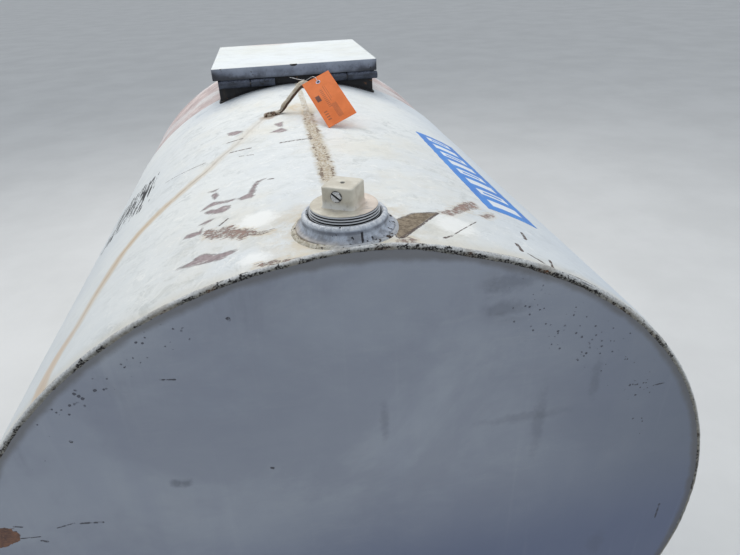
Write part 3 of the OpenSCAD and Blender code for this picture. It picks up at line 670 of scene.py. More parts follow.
def turned(profile, turns, centre, axis="Z", bend=None, hollow=False):
    """A section of radius and height turned about an axis, closed on itself if hollow, else to the axis."""
    angle = np.linspace(0, 2 * pi, turns, endpoint=False)
    r, h = profile[:, :1], profile[:, 1:]
    rings = np.stack([r * np.cos(angle), r * np.sin(angle), h + 0 * angle], -1)
    rings = rings[..., {"X": [2, 0, 1], "Y": [0, 2, 1], "Z": [0, 1, 2]}[axis]] + np.array(centre)
    rings = bend(rings) if bend else rings
    return (rings.reshape(-1, 3), [woven_faces(*rings.shape[:2], True, True)]) if hollow else lofted(rings)


def drummed(outward):
    def bend(points):
        """Pushes the plate in by up to 2 mm: long waves that die out towards the rim."""
        calm = 1 - ease(np.hypot(points[..., 0], points[..., 2] - axis_z), 0.40, 0.595)
        flat = points[..., [0, 2]]
        waves = 0.9 + 0.7 * ripple(flat, 0.62, 21) + 0.25 * ripple(flat, 0.25, 22)
        push = 0.0011 * calm * np.clip(waves, 0, 2)
        return points - np.array([0, outward, 0]) * push[..., None]
    return bend


f = Finish("Head enamel", specular=0.4)
paint = f.use(chalk, Vector=f.stretched(f.place, 1, 1, 1, (pi / 2, 0, 0)), Clean=colour(157, 163, 173),
              Dull=colour(144, 150, 162), Streak=colour(161, 166, 174), Streaks=0.3, Scale=0.8)
# Clouds, painted shade that darkens the head to the right and low down, and faint wiped runs
smear = f.drawn((5, 1, 1.1), 5, 0.6, 0.4)
f.base = f.blend(f.level(smear, 0.42, 0.64) * 0.45, paint["Color"], (141, 147, 162))
cloud = f.noise(3.6, 5, 0.62, 0.5)
f.coat(f.level(cloud, 0.44, 0.62) * 0.45, 130, 135, 149)
high, wide, up = f.z, f.x, f.z - axis_z
off_axis = f.length(wide, up)
# Painted shade: darker to the right and low down
f.coat(f.level(wide, 0.1, 0.62, 0, 0.85), 104, 112, 127)
f.coat(f.level(high, 0.98, 0.7, 0, 0.8), 94, 104, 131)
rain = f.drawn((34, 1, 1.6), 4, 0.6)
f.coat(f.level(rain, 0.56, 0.76) * 0.08, 190, 194, 199)
near_rim = f.level(off_axis + rain * 0.05, 0.52, 0.62)
seep = f.drawn((22, 1, 4.5), 5, 0.65, 0.8)
seep = f.level(seep, 0.5, 0.7) * near_rim * f.level(cloud, 0.4, 0.6)
f.coat(seep * 0.26, 100, 104, 112)
# Scuffs below the rim, and rings of small dark chips just inside it
scuff_noise = f.drawn((10, 1, 26), 4, 0.6, turn=(0, radians(20), 0))
scuff_spot = f.length(wide - 0.205, high - 1.288)
scuffs = f.level(scuff_spot, 0.06, 0.02) * f.level(scuff_noise, 0.42, 0.6)
f.coat(scuffs * 0.55, 116, 120, 128)
dot_noise = f.add("TexVoronoi", Vector=f.stretched(f.place, 1, 0.001, 1), Scale=120.0)
ragged = f.noise(420, 3, 0.6) * 0.34
dot_size = f.noise(24, 2) * 0.62
ring_left = f.level(off_axis, 0.535, 0.562) * f.level(off_axis, 0.596, 0.584)
ring_left = ring_left * f.level(wide, -0.17, -0.21) * f.level(wide, -0.47, -0.41)
ring_right = f.level(off_axis, 0.48, 0.51) * f.level(off_axis, 0.6, 0.58)
ring_right = ring_right * f.level(wide, 0.16, 0.22) * f.level(wide, 0.5, 0.44)
ring_band = f.most(ring_left, ring_right) * f.level(up, 0, 0.1)
ring_band = ring_band * 0.92 + 0.08
dots = f.level(dot_noise["Distance"] + ragged - dot_size * ring_band, 0.06, 0)
few = f.level(f.noise(31, 1), 0.44, 0.52)
f.coat(dots * few * 0.8, 62, 63, 72)
# Scratches and rubbed places, on the front head only
on_face = f.add("CombineXYZ", X=wide, Y=high)[0]
on_front = f.level(f.y, 0.1, -0.1)
cuts = scratched(f, on_face, (
    (-449, 989, -425, 993, 2), (-417, 990, -388, 985, 3), (-502, 1007, -492, 1003, 2),
    (-477, 968, -470, 964, 3), (460, 1083, 477, 1085, 2), (543, 744, 543, 781, 3),
    (-520, 992, -503, 996, 3), (-500, 980, -476, 977, 2), (-256, 1227, -238, 1224, 2),
    (-159, 1305, -158, 1303, 4), (-386, 1148, -385, 1146, 3), (-139, 1039, -137, 1038, 4))) * on_front
f.coat(cuts * 0.8, 52, 50, 56)
wavy = (f.noise(60, 6, 0.7) - 0.5) * 2.4
for x, z, half_x, half_z, dark in (
        (274, 1040, 9, 60, 0.22), (356, 1115, 8, 34, 0.22), (31, 1095, 6, 30, 0.25),
        (-274, 1040, 8, 7, 0.45), (-261, 1036, 8, 7, 0.45), (208, 1307, 34, 12, 0.30),
        (200, 1265, 30, 10, 0.30), (250, 1058, 60, 8, 0.20), (430, 700, 14, 30, 0.20)):
    off = f.length((wide - x / 1000) / (half_x / 1000), (high - z / 1000) / (half_z / 1000))
    rub = f.level(off + wavy, 1.6, 0.3) * on_front
    f.coat(rub * dark, 70, 74, 84)
# Dirt and painted shade in the groove along the rim, and a rusty peel near its left edge
rim_dirt_and_shade = off_axis + f.noise(28, 5) * 0.014
f.coat(f.level(rim_dirt_and_shade, 0.592, 0.603, 0, 0.6), 92, 88, 82)
patch_z = high - 0.988
patch = f.math("SQRT", f.math("POWER", wide + 0.53, 2) + patch_z * patch_z * 2.5)
peel = f.use(ragged_edge, Distance=patch - 0.03, Raggedness=0.06, Grain=34)
rust = f.use(old_rust, Scale=60)
peeled = peel["Inside"] * on_front
f.coat(peeled, f.blend(0.5, rust["Color"], (110, 82, 74)))
splash = f.level(high, 0.55, 0.25) * f.level(f.noise(12, 6, 0.7), 0.4, 0.62)
f.coat(splash * 0.5, 122, 116, 108)
height = paint["Height"] * 0.08 + smear * 0.05
height = height - f.most(f.most(cuts, dots * few), peeled) * 0.6
shaded_head_enamel = f.dress(f.level(smear, 0.3, 0.7, 0.46, 0.58), height, 0.001)


def disc(radius, y_out, outward):
    r = np.concatenate([np.linspace(0.005, radius - 0.0008, 62), [radius]])
    y_face = np.where(r > radius - 0.0004, y_out - outward * 0.0008, y_out)
    back = np.stack([[radius, radius * 0.5, 0.005], np.full(3, y_out - outward * head_t)], 1)
    line = np.concatenate([np.stack([r, y_face], 1), back])
    return turned(line, 320, (0, 0, axis_z), "Y", drummed(outward))


head_gap, head_sink = 0.0045, 0.0015
for name, radius, y_out, way in (("front", shell_r, front_y + head_sink, -1),
                                 ("back", back_r, back_y - head_sink, 1)):
    piece(f"{name}_disc", f"{name}_head", disc(radius - head_gap, y_out, way), (shaded_head_enamel,))


# Corner, lap and seam welds: hand-laid beads that ripple, swell and sink along their length.
# Paint has chipped off the corner welds in dark spots, most near the top, and the seam is bare and rusty.
def tube(route, outward, radius, sides=14, ring=True):
    """A round bar along a route: each ring is the radius turned about a point of the route."""
    ahead = np.roll(route, -1, 0) - np.roll(route, 1, 0)
    if not ring:
        ahead[0], ahead[-1] = route[1] - route[0], route[-1] - route[-2]
    ahead /= np.linalg.norm(ahead, axis=1)[:, None]
    across = np.cross(ahead, outward)
    across /= np.linalg.norm(across, axis=1)[:, None]
    out = np.cross(across, ahead)
    angle = np.linspace(0, 2 * pi, sides, endpoint=False)
    radius = np.broadcast_to(radius, (len(route), sides))[..., None]
    points = route[:, None] + radius * (np.cos(angle)[None, :, None] * out[:, None]
                                        + np.sin(angle)[None, :, None] * across[:, None])
    faces = [woven_faces(len(route), sides, ring, True)]
    if not ring:
        faces += [np.arange(sides)[None], (np.arange(sides)[::-1] + (len(route) - 1) * sides)[None]]
    return points.reshape(-1, 3), faces


def bead_size(route, sides, least, most, seed, pitch=0.005):
    """A hand-laid bead's radius: slow swells, lumps round it, and small crescents one pitch apart."""
    length = np.cumsum(np.linalg.norm(np.diff(route, axis=0, prepend=route[:1]), axis=1))[:, None]
    angle = np.linspace(0, 2 * pi, sides, endpoint=False)[None]
    place = np.stack(np.broadcast_arrays(length, 0.012 * np.cos(angle), 0.012 * np.sin(angle)), -1)
    swell = 0.5 + 0.28 * ripple(place, 0.05, seed) + 0.25 * ripple(place, 0.016, seed + 1)
    crescent = 0.09 * np.sin(2 * pi * length / pitch + 1.4 * np.cos(angle))
    return least + (most - least) * np.clip(swell + crescent, 0, 1)


def flattened(size, share):
    """The radius of an oval bead: size along the outward way, and only a share of it across that."""
    angle = np.linspace(0, 2 * pi, size.shape[1], endpoint=False)
    return size / np.hypot(np.cos(angle), np.sin(angle) / share)


def rim_finish(name, chipped):
    """Painted bead: white paint above, darker below with dirt and painted shade, with dark chips where the
    mark named chipped is high.
    """
    f = Finish(name, specular=0.3)
    sand = f.noise(330, 4, 0.7)
    dirt = f.noise(26, 5, 0.65)
    f.base = f.blend(f.level(sand, 0.38, 0.6), (182, 183, 183), (216, 217, 215))
    if chipped:
        # The bead's lower, front side is darker: dirt and painted shade
        grimy_and_shaded = f.mark("low") * f.level(sand, 0.3, 0.6, 1, 0.75)
        f.coat(grimy_and_shaded, 104, 102, 94)
    f.coat(f.level(dirt, 0.42, 0.66) * 0.45, 146, 136, 120)
    amount = f.mark("chipped") if chipped else 0.42
    spots = f.use(chips, Size=0.0042, Amount=amount)["Mask"]
    flakes = f.level(f.noise(380, 4, 0.7), 0.47, 0.55)
    spots = spots * (1 - flakes * 0.85)
    rust = f.use(old_rust, Scale=110)
    dark = f.blend(f.level(dirt, 0.54, 0.66, 0, 0.7), (40, 37, 38), rust["Color"])
    f.coat(spots, dark)
    height = sand * 0.9 - spots * 0.9
    return f.dress(f.level(spots, 0, 1, 0.62, 0.85), height, 0.0012)


rim_paint = rim_finish("Rim bead paint", True)
bead_paint = rim_finish("Bead paint", False)


def rim_bead(name, node, radius, y, way, seed):
    """The bead fills the corner: an oval flush with the shell, 7 to 14 mm wide on the face."""
    angle = np.linspace(0, 2 * pi, 1500, endpoint=False)
    turn = (angle + pi) % (2 * pi) - pi
    half = np.interp(np.degrees(turn), [-180, -60, -36, -19, -5, 3, 10, 30, 45, 62, 180],
                     [4.6, 4.8, 5.2, 4.6, 4.0, 4.0, 5.6, 6.6, 5.4, 4.6, 4.6]) / 1000
    hump = 0.0022 * np.exp(-((turn - 0.07) / 0.10) ** 2) if way < 0 else 0
    middle = radius + 0.0004 + hump - half - (weld_pull(turn * shell_r) if way < 0 else 0)
    outward = np.stack([np.sin(angle), 0 * angle, np.cos(angle)], 1)
    route = np.array([0, y, axis_z]) + middle[:, None] * outward
    size = flattened(bead_size(route, 16, 0.88, 1.08, seed) * half[:, None], 0.0042 / half[:, None])
    side_turn = np.linspace(0, 2 * pi, 16, endpoint=False)
    low = ease(-0.75 * np.cos(side_turn) - way * 0.65 * np.sin(side_turn), -0.25, 0.7)[None] + 0 * size
    amount = np.interp(np.degrees(turn), [-180, -60, -26, -19, -6, -1, 5, 10, 34, 50, 180],
                       [0.50, 0.62, 0.84, 1.20, 1.22, 1.06, 0.88, 1.10, 1.10, 0.84, 0.50])
    amount = (amount + 0.06 * ripple(route, 0.10, seed + 5))[:, None] * (0.60 + 0.40 * low)
    piece(name, node, tube(route, outward, size, 16), (rim_paint,),
          {"chipped": amount, "low": low}, crease=60)


rim_seat = 0.0047
rim_bead("front_rim_bead", "front_head_weld", shell_r, front_y + rim_seat, -1, 31)
rim_bead("back_rim_bead", "back_head_weld", back_r, back_y - rim_seat, 1, 41)
angle = np.linspace(0, 2 * pi, 1100, endpoint=False)
outward = np.stack([np.sin(angle), 0 * angle, np.cos(angle)], 1)
lap_route = (back_r + 0.0008) * outward + np.array([0, lap_y + 0.0006, axis_z])
lap_size = bead_size(lap_route, 10, 0.0022, 0.0033, 51)
piece("lap_bead", "lap_weld_ring", tube(lap_route, outward, lap_size, 10), (bead_paint,),
      crease=60)

f = Finish("Bare seam", specular=0.3)
rust = f.use(old_rust, Scale=130)
chalky = f.blend(f.level(f.noise(200, 4), 0.4, 0.6), (176, 160, 136), (206, 200, 186))
calm = f.level(f.y, -0.3, 0.1)
old_paint = f.level(f.noise(70, 5, 0.7), 0.62 - calm * 0.25, 0.66)
worn_down = f.blend(0.55, rust["Color"], (140, 124, 104))
f.base = f.blend(f.level(f.noise(190, 6, 0.7), 0.51, 0.62) * 0.7, chalky, worn_down)
f.base = f.blend(old_paint, f.base, (208, 206, 198))
seam_rust = f.dress(0.85, rust["Height"], 0.0016)
seam_y = steps((bung_y + bung_foot_r + 0.005, 1), (hatch_front_y - 0.004, 0.0032))
seam_half, seam_rise, seam_pitch = 0.0068, 0.0014, 0.0045
seam_s = np.linspace(-seam_half, seam_half, 13)
s, y = np.meshgrid(seam_s, seam_y, indexing="ij")
wander = 0.0012 * ripple(y[..., None], 0.07, 61)
crest = np.clip(1 - (np.abs(s) / seam_half) ** 2.4, 0, 1)
place = np.stack([s, y], -1)
lump = 0.62 + 0.30 * ripple(place, 0.018, 62) + 0.12 * np.sin(2 * pi * (y + s * s * 60) / seam_pitch)
top = on_shell(s + wander, y, shell_r, seam_rise * crest * np.clip(lump, 0.15, 1) + 0.00005)
piece("long_seam_bead", "top_seam_weld", slab(top, on_shell(s + wander, y, shell_r, -0.0006)), (seam_rust,),
      crease=60)


# Bung flange: a turned weld-in ring with a round shoulder. Its foot is cut to the shell and welded all round.
# Blue-grey paint over forged steel, chipped black low on the right and stained brown on the left.
crown_z = axis_z + shell_r
bore_r, flange_foot_r, flange_top_r, flange_h = 0.0462, 0.061, 0.056, 0.020


def arc_line(centre, radius, start, end, count=7):
    """Points of an arc in a section. The angles are in degrees."""
    angle = np.radians(np.linspace(start, end, count))
    return np.stack([centre[0] + radius * np.cos(angle), centre[1] + radius * np.sin(angle)], 1)


def section(*parts, step=0.0012):
    """One line of points through all parts, with more points where two lie further apart than step."""
    line = np.concatenate([np.atleast_2d(np.array(part, float)) for part in parts])
    return filled_in(line, step)


def filled_in(line, step):
    """The same line of points with each long stretch cut into equal steps."""
    runs = [np.linspace(a, b, max(1, ceil(np.linalg.norm(b - a) / step)), endpoint=False)
            for a, b in zip(line, line[1:])]
    return np.concatenate(runs + [line[-1:]])


def shell_top(x, y):
    """Height of the steel over a point of the floor plan, with the step down behind the lap."""
    radius = shell_r - (shell_r - back_r) * ease(y, lap_y, lap_y + 0.004)
    return axis_z + np.sqrt(radius ** 2 - x ** 2)


def forged(points):
    """Lets the lowest points follow the shell, and makes the forging uneven by up to 0.4 mm."""
    local = points - np.array([0, bung_y, crown_z])
    across = np.hypot(local[..., 0], local[..., 1])
    uneven = 0.0003 * ripple(points, 0.03, 71) * ease(across, 0.050, 0.055)
    local[..., :2] *= (1 - np.abs(uneven) / across)[..., None]
    low = local[..., 2] < 0.0004
    local[..., 2] = np.where(low, shell_top(local[..., 0], bung_y) - crown_z - 0.0006, local[..., 2])
    return local + np.array([0, bung_y, crown_z])


f = Finish("Flange paint", specular=0.45)
rise = f.z - crown_z
side = f.x
mist = f.noise(45, 5, 0.65)
f.base = f.blend(f.level(mist, 0.35, 0.65), (184, 192, 204), (156, 164, 177))
fine = f.drawn((170, 170, 70), 6, 0.75)
f.coat(f.level(fine, 0.46, 0.62) * 0.45, 122, 126, 134)
f.coat(f.level(fine, 0.44, 0.34) * 0.5, 206, 210, 214)
# Painted shade: a darker band under the round shoulder
under = f.level(abs(rise - 0.0128), 0.0034, 0.001)
f.coat(under * f.level(mist, 0.3, 0.6, 0.25, 0.75), 94, 98, 108)
# Painted highlight: a pale line along the top of the shoulder
shoulder = f.level(rise + mist * 0.003, 0.0172, 0.019)
f.coat(shoulder * f.level(fine, 0.4, 0.56, 0.8, 0.25), 214, 216, 216)
foot = f.level(rise + mist * 0.01, 0.012, 0.003)
to_left = f.level(side, 0.01, -0.045)
f.coat(foot * (to_left * 0.75 + 0.15), 158, 138, 108)
neck = f.level(rise, 0.014, 0.008) * f.level(mist, 0.48, 0.6)
f.coat(neck * 0.45, 112, 108, 104)
to_right = f.level(side, -0.045, 0.035)
amount = to_right * f.level(rise, 0.015, 0.003) * 0.36 + 0.42
spots = f.use(chips, Vector=f.stretched(f.place, 1, 1, 0.7), Size=0.0036, Amount=amount)
f.coat(spots["Mask"], 30, 30, 36)
tick = f.level(abs(side - 0.0135), 0.0021, 0.001) * f.level(abs(rise - 0.0075), 0.006, 0.0042)
f.coat(tick, 34, 33, 38)
# Painted shadow in the gap between the flange's top and the plug
gap_shadow = f.level(rise, 0.0188, 0.0165) * f.level(f.length(side, f.y - bung_y), 0.05, 0.0485)
f.coat(gap_shadow, 40, 38, 38)
height = mist * 0.4 - spots["Mask"]
flange_paint = f.dress(f.level(spots["Mask"], 0, 1, 0.42, 0.8), height, 0.0009)

flange_line = section((bore_r, -0.003), (bore_r, flange_h - 0.004), (bore_r + 0.004, flange_h),
                      arc_line((flange_top_r - 0.005, flange_h - 0.005), 0.005, 90, 0),
                      (flange_top_r - 0.0004, 0.0122),
                      arc_line((flange_foot_r + 0.0044, 0.0112), 0.0092, 180, 262, 10),
                      (flange_foot_r + 0.0036, 0.0012), (flange_foot_r + 0.0036, -0.003))
piece("flange_ring", "bung_flange", turned(flange_line, 220, (0, bung_y, crown_z), bend=forged, hollow=True),
      (flange_paint,), crease=50)

# The bead round the flange's foot: broad and sandy on the left, thin on the right, close to the rim in front
angle = np.linspace(0, 2 * pi, 460, endpoint=False)
around = np.stack([np.cos(angle), np.sin(angle), 0 * angle], 1)
leftward = np.clip(-np.cos(angle - 0.5), 0, 1) ** 2
route = np.array([0, bung_y, 0]) + (flange_foot_r + 0.0040 + 0.0006 * leftward[:, None]) * around
route[:, 2] = shell_top(route[:, 0], route[:, 1]) - 0.0006
bead = flattened(bead_size(route, 12, 0.0042, 0.0056, 72) + 0.0006 * leftward[:, None], 0.60)
f = Finish("Sandy bead", specular=0.3)
sand = f.noise(260, 5, 0.7)
f.base = f.blend(f.level(sand, 0.36, 0.62), (158, 149, 128), (206, 200, 186))
cold = f.level(f.x, -0.045, 0)
f.coat(cold * 0.75, 168, 174, 184)
out = f.length(f.x, f.y - bung_y)
foot_line = f.level(out + sand * 0.0012, flange_foot_r + 0.0046, flange_foot_r + 0.003)
f.coat(foot_line * 0.75, 58, 54, 54)
spots = f.use(chips, Size=0.0038, Amount=0.6)
f.coat(spots["Mask"], 66, 56, 50)
sandy_bead = f.dress(0.78, sand - spots["Mask"], 0.0009)
piece("flange_bead", "bung_weld", tube(route, around, bead, 12), (sandy_bead,), crease=60)


# Plug: a cast body with a real helical thread, screwed in until three turns show, and a square turned askew.
# Cream paint, white overspray low on the square, a pinkish stain on the right and black in the thread.
plug_z, plug_r, pitch = 1.410, 0.046, 0.0032
square_half, square_h, square_turn = 0.0215, 0.028, radians(-31)
square_corner, top_round = 0.005, 0.0026


def threaded(points):
    """Cuts a helix 2.8 mm deep that falls by one pitch in each turn, and tapers the top of the body."""
    local = points - np.array([0, bung_y, plug_z])
    across = np.hypot(local[..., 0], local[..., 1])
    turn = np.arctan2(local[..., 1], local[..., 0]) / (2 * pi)
    from_groove = np.abs((local[..., 2] / pitch + turn) % 1 - 0.5) * pitch
    cut = 0.0028 * np.clip(1.25 - from_groove / 0.0009, 0, 1)
    cut *= ease(-local[..., 2], 0.0009, 0.0016)
    cut = (cut + 0.0026 * (1 - ease(-local[..., 2], -0.002, 0.0105))) * (across > 0.040)
    local[..., :2] *= (1 - cut / np.maximum(across, 0.01))[..., None]
    return local + np.array([0, bung_y, plug_z])


def rounded_ring(half_x, half_y, corner, z, arc_steps=6, side_steps=10):
    """A ring of points round a rectangle with round corners: four arcs, and equal steps along the sides."""
    corner = min(corner, half_x, half_y)
    quarter = np.radians(np.linspace(0, 90, arc_steps + 1))
    arcs = [np.stack([cx * (half_x - corner) + corner * np.cos(quarter + radians(turn)),
                      cy * (half_y - corner) + corner * np.sin(quarter + radians(turn))], 1)
            for turn, cx, cy in ((0, 1, 1), (90, -1, 1), (180, -1, -1), (270, 1, -1))]
    sides = [np.linspace(a[-1], b[0], side_steps + 1)[1:-1] for a, b in zip(arcs, arcs[1:] + arcs[:1])]
    ring = np.concatenate([part for pair in zip(arcs, sides) for part in pair])
    return np.column_stack([ring, np.full(len(ring), z)])


def turned_about_z(points, angle, centre):
    c, s = cos(angle), sin(angle)
    return points @ np.array([[c, s, 0], [-s, c, 0], [0, 0, 1]]) + np.array(centre)


def joined(*shapes):
    """Several closed shapes as one, each kept closed."""
    starts = np.cumsum([0] + [len(points) for points, _ in shapes])
    return (np.concatenate([points for points, _ in shapes]),
            [face + start for (_, faces), start in zip(shapes, starts) for face in faces])


body_line = section((0.010, -0.044), (0.0448, -0.044), (0.0458, -0.043), (plug_r, -0.016), step=0.006)
thread_line = section((plug_r, -0.0156), (plug_r, -0.0006), (plug_r - 0.0006, 0), step=0.00028)
shelf_line = section((0.040, 0), (0.030, 0), (0.010, 0), step=0.005)
body_line = np.concatenate([body_line, thread_line, shelf_line])
body = turned(body_line, 240, (0, bung_y, plug_z), bend=threaded)
rings = [(0.0242, 0.008, -0.001), (0.0232, 0.007, 0.0003), (0.0224, 0.006, 0.0012), (0.0218, 0.0055, 0.0028)]
rings += [(square_half, square_corner, z) for z in np.linspace(0.0045, square_h - top_round, 9)]
rings += [(square_half - top_round + top_round * cos(a), square_corner,
           square_h - top_round + top_round * sin(a)) for a in np.radians([18, 36, 54, 72, 90])]
rings += [(half, corner, square_h - down) for half, corner, down in (
    (0.016, 0.005, 0), (0.012, 0.006, 0), (0.008, 0.0065, 0), (0.0050, 0.005, 0), (0.0034, 0.005, 0.0002),
    (0.0027, 0.005, 0.0009), (0.0019, 0.005, 0.0019))]
square = np.stack([rounded_ring(half, half, corner, z) for half, corner, z in rings])
mark = ease(-np.hypot(square[..., 0], square[..., 1]), -0.0050, -0.0020)
square[..., 2] -= 0.0004 * mark * np.clip(ripple(square, 0.004, 73), 0, 1)
square[..., :2] *= (1 - 0.010 * np.clip(ripple(square, 0.03, 74), 0, 1))[..., None]
points, faces = lofted(square)
square = (turned_about_z(points, square_turn, (0, bung_y, plug_z)), faces)

f = Finish("Plug paint", specular=0.4)
rise = f.z - plug_z
side, depth = f.x, f.y - bung_y
out = f.length(side, depth)
mist = f.noise(60, 5, 0.6)
f.base = f.blend(f.level(mist, 0.36, 0.64), (204, 198, 182), (188, 180, 163))
spray = f.level(rise + f.noise(70, 3) * 0.012, 0.017, 0.009)
on_square = f.level(rise, 0, 0.001) * f.level(side, 0.022, -0.004)
f.coat(spray * on_square * 0.65, 222, 223, 220)
pink = f.level(side, 0.004, 0.03) * f.level(rise, 0.01, 0)
f.coat(pink * 0.7, 222, 204, 190)
smoke = f.level(f.noise(90, 5, 0.7), 0.54, 0.68) * f.level(rise, 0.02, 0.004)
f.coat(smoke * 0.5, 150, 142, 140)
tapered = out + rise * 0.26
thread = f.level(tapered, 0.043, 0.04225) * f.level(rise, -0.0007, -0.0011)
f.coat(f.level(rise, -0.0004, -0.001), 190, 192, 194)
f.coat(thread, 20, 20, 22)
dimple = f.level(out + mist * 0.003, 0.0054, 0.0046) * f.level(rise, 0.024, 0.026)
f.coat(dimple, 26, 24, 22)
# Painted highlight along the rounded top edge of the square
edge = f.level(abs(rise - 0.0272), 0.0009, 0) * 0.35
f.coat(edge, 232, 228, 214)
plug_paint = f.dress(f.level(mist, 0.3, 0.7, 0.4, 0.52), mist, 0.0003)
piece("plug_body", "bung_plug", joined(body, square), (plug_paint,), crease=50)

# A slotted screw head stands on the square's front side, its slot turned 35 degrees off level
screw_r, screw_h, slot_half, slot_turn = 0.0075, 0.0014, 0.0013, radians(-35)
chords = steps((-screw_r + 1e-5, 1), (-slot_half - 0.0002, 0.0004), (-slot_half, 0.0002), (slot_half, 0.0005),
               (slot_half + 0.0002, 0.0002), (screw_r - 1e-5, 0.0004))
v, t = np.meshgrid(chords, np.linspace(-1, 1, 41), indexing="ij")
u = t * np.sqrt(screw_r ** 2 - v ** 2)
to_rim = screw_r - np.hypot(u, v)
top = screw_h * (0.72 + 0.28 * ease(to_rim, 0, 0.0014)) * np.where(np.abs(v) <= slot_half, 0.18, 1)
turn = np.array([[cos(slot_turn), sin(slot_turn)], [-sin(slot_turn), cos(slot_turn)]])
flat = np.stack([u, v], -1) @ turn
front = np.stack([flat[..., 0], -square_half - top, flat[..., 1] + 0.6 * square_h], -1)
back = np.stack([flat[..., 0], 0 * u - square_half + 0.001, flat[..., 1] + 0.6 * square_h], -1)
points, faces = slab(front, back)
f = Finish("Screw steel", metallic=0.35, specular=0.5)
mist = f.noise(500, 4, 0.65)
depth = f.mark("slot")
f.base = f.blend(f.level(mist, 0.35, 0.65), (222, 222, 222), (184, 184, 184))
# Painted shadow in the gap round the screw head's rim
grime_and_shade = f.mark("rim") * f.level(f.noise(160, 2), 0.42, 0.5)
f.coat(grime_and_shade * 0.9, 44, 42, 42)
# The slot painted near black as shade
f.coat(depth, 14, 13, 13)
screw_steel = f.dress(f.level(mist, 0.3, 0.7, 0.35, 0.6), mist, 0.0001, 0.35 - depth * 0.35)
screw_marks = {"slot": (np.abs(v) <= slot_half) * 1.0, "rim": 1 - ease(to_rim, 0.0006, 0.0014)}
piece("screw_head", "plug_screw", (turned_about_z(points, square_turn, (0, bung_y, plug_z)), faces),
      (screw_steel,), screw_marks, crease=30)


# Lifting lug: one round bar bent to an upturned V with two flat feet, fillet-welded along both feet.
# Cream paint left on its upper side, bare brown steel below, and rusty lumpy welds. The split follows which
# way each face turns to the light, so it is partly painted light and shade.
rod_r, lug_foot_x, lug_foot_l, foot_bend, top_bend, lug_h = 0.008, 0.078, 0.034, 0.012, 0.016, 0.066
foot_r = shell_r + rod_r + 0.0001
foot_slope = asin(lug_foot_x / foot_r)
foot_way = np.array([cos(foot_slope), sin(foot_slope)])
foot_up = np.array([-sin(foot_slope), cos(foot_slope)])
foot_mid = foot_r * foot_up
foot_in, foot_out = foot_mid + lug_foot_l / 2 * foot_way, foot_mid - lug_foot_l / 2 * foot_way
foot_centre = foot_in + foot_bend * foot_up
top_centre = np.array([0, shell_r + lug_h - rod_r - top_bend])
bend_run = top_centre - foot_centre
leg_slope = atan2(bend_run[1], bend_run[0]) + asin((top_bend + foot_bend) / hypot(*bend_run))
lean = (foot_slope * 180 / pi, leg_slope * 180 / pi)
half = np.concatenate([[foot_out], arc_line(foot_centre, foot_bend, 270 + lean[0], 270 + lean[1], 12),
                       arc_line(top_centre, top_bend, 90 + lean[1], 90, 12)])
lug_line = filled_in(np.concatenate([half, half[-2::-1] * np.array([-1, 1])]), 0.0018)
lug_route = np.stack([lug_line[:, 0], np.full(len(lug_line), lug_y), axis_z + lug_line[:, 1]], 1)
bar = rod_r - 0.00035 * np.clip(0.5 + bead_size(lug_route, 24, -1, 1, 81, 0.02), 0, 1)
beaten = 1 - 0.46 * (1 - ease(lug_route[:, 2], crown_z + 0.004, crown_z + 0.016))
bar = flattened(bar, beaten[:, None])
lug_route[:, 2] -= rod_r * (1 - beaten)
above = lug_route[:, 2] - crown_z
bar *= np.interp(above, [0.012, 0.020, 0.046, lug_h - rod_r], [0.90, 0.74, 0.76, 1.0])[:, None]
bar[[0, -1]] *= 0.86
bar[[1, -2]] *= 0.97

f = Finish("Lug steel", specular=0.4)
facing = f.add("TexCoord")["Normal"]
facing_light = f.axes(facing)[2] - f.axes(facing)[0] * 0.75
mist = f.noise(90, 6, 0.7)
rust = f.use(old_rust, Scale=120)
low = f.level(f.z, crown_z + 0.018, crown_z + 0.002)
# Light cream on faces turned up and to the left, dark below: paint wear with painted light and shade
painted = f.level(facing_light + (mist - 0.5) * 1.1, -0.05, 0.12)
painted = painted * (1 - low * f.level(mist, 0.4, 0.55))
cream = f.blend(f.level(mist, 0.35, 0.62), (212, 205, 190), (176, 162, 140))
f.base = f.blend(painted, f.blend(0.65, rust["Color"], (64, 59, 55)), cream)
lug_steel = f.dress(f.level(painted, 0, 1, 0.75, 0.5), rust["Height"] + painted, 0.0005)
piece("lug_bar", "lifting_lug", tube(lug_route, np.array([0, 1.0, 0]), bar, 24, False), (lug_steel,),
      crease=50)

f = Finish("Rusty weld", specular=0.3)
rust = f.use(old_rust, Scale=150)
kept = f.level(f.noise(130, 5, 0.7), 0.44, 0.53)
f.base = f.blend(kept * 0.8, f.blend(0.5, rust["Color"], (60, 50, 44)), (182, 172, 154))
rusty_weld = f.dress(0.85, rust["Height"], 0.0012)
for side, name in ((1, "left"), (-1, "right")):
    line = filled_in(np.stack([foot_out - 0.003 * foot_way, foot_in]) - 0.0066 * foot_up, 0.0012)
    route = np.stack([side * line[:, 0], np.full(len(line), lug_y), axis_z + line[:, 1]], 1)
    lump = flattened(bead_size(route, 22, 0.0092, 0.0110, 82 + side, 0.006), 0.58)
    taper = np.interp(np.linspace(0, 1, len(route)), [0, 0.06, 0.16, 0.90, 1], [0.55, 0.84, 1, 0.94, 0.74])
    lump *= taper[:, None]
    piece(f"lug_bead_{name}", f"lug_weld_{name}", tube(route, np.array([0, 1.0, 0]), lump, 22, False),
          (rusty_weld,), crease=60)


# Hatch box: four plates welded up square and welded down on both courses of the shell, across the lap.
# Near-black grime over old grey paint, with thin brown runs and rusty flakes. The lid overhangs it.
lid_z, lid_plate, lid_skirt = 1.433, 0.003, 0.031
hatch_plate, hatch_top = 0.005, 1.4298


def softened(made, width, angle=40):
    """Rounds the sharp edges of a plate."""
    soft = made.modifiers.new("Edges", "BEVEL")
    soft.width, soft.segments, soft.limit_method, soft.angle_limit = width, 2, "ANGLE", radians(angle)
    soft.use_clamp_overlap = True
    made.modifiers.new("Faces", "WEIGHTED_NORMAL")
    return made


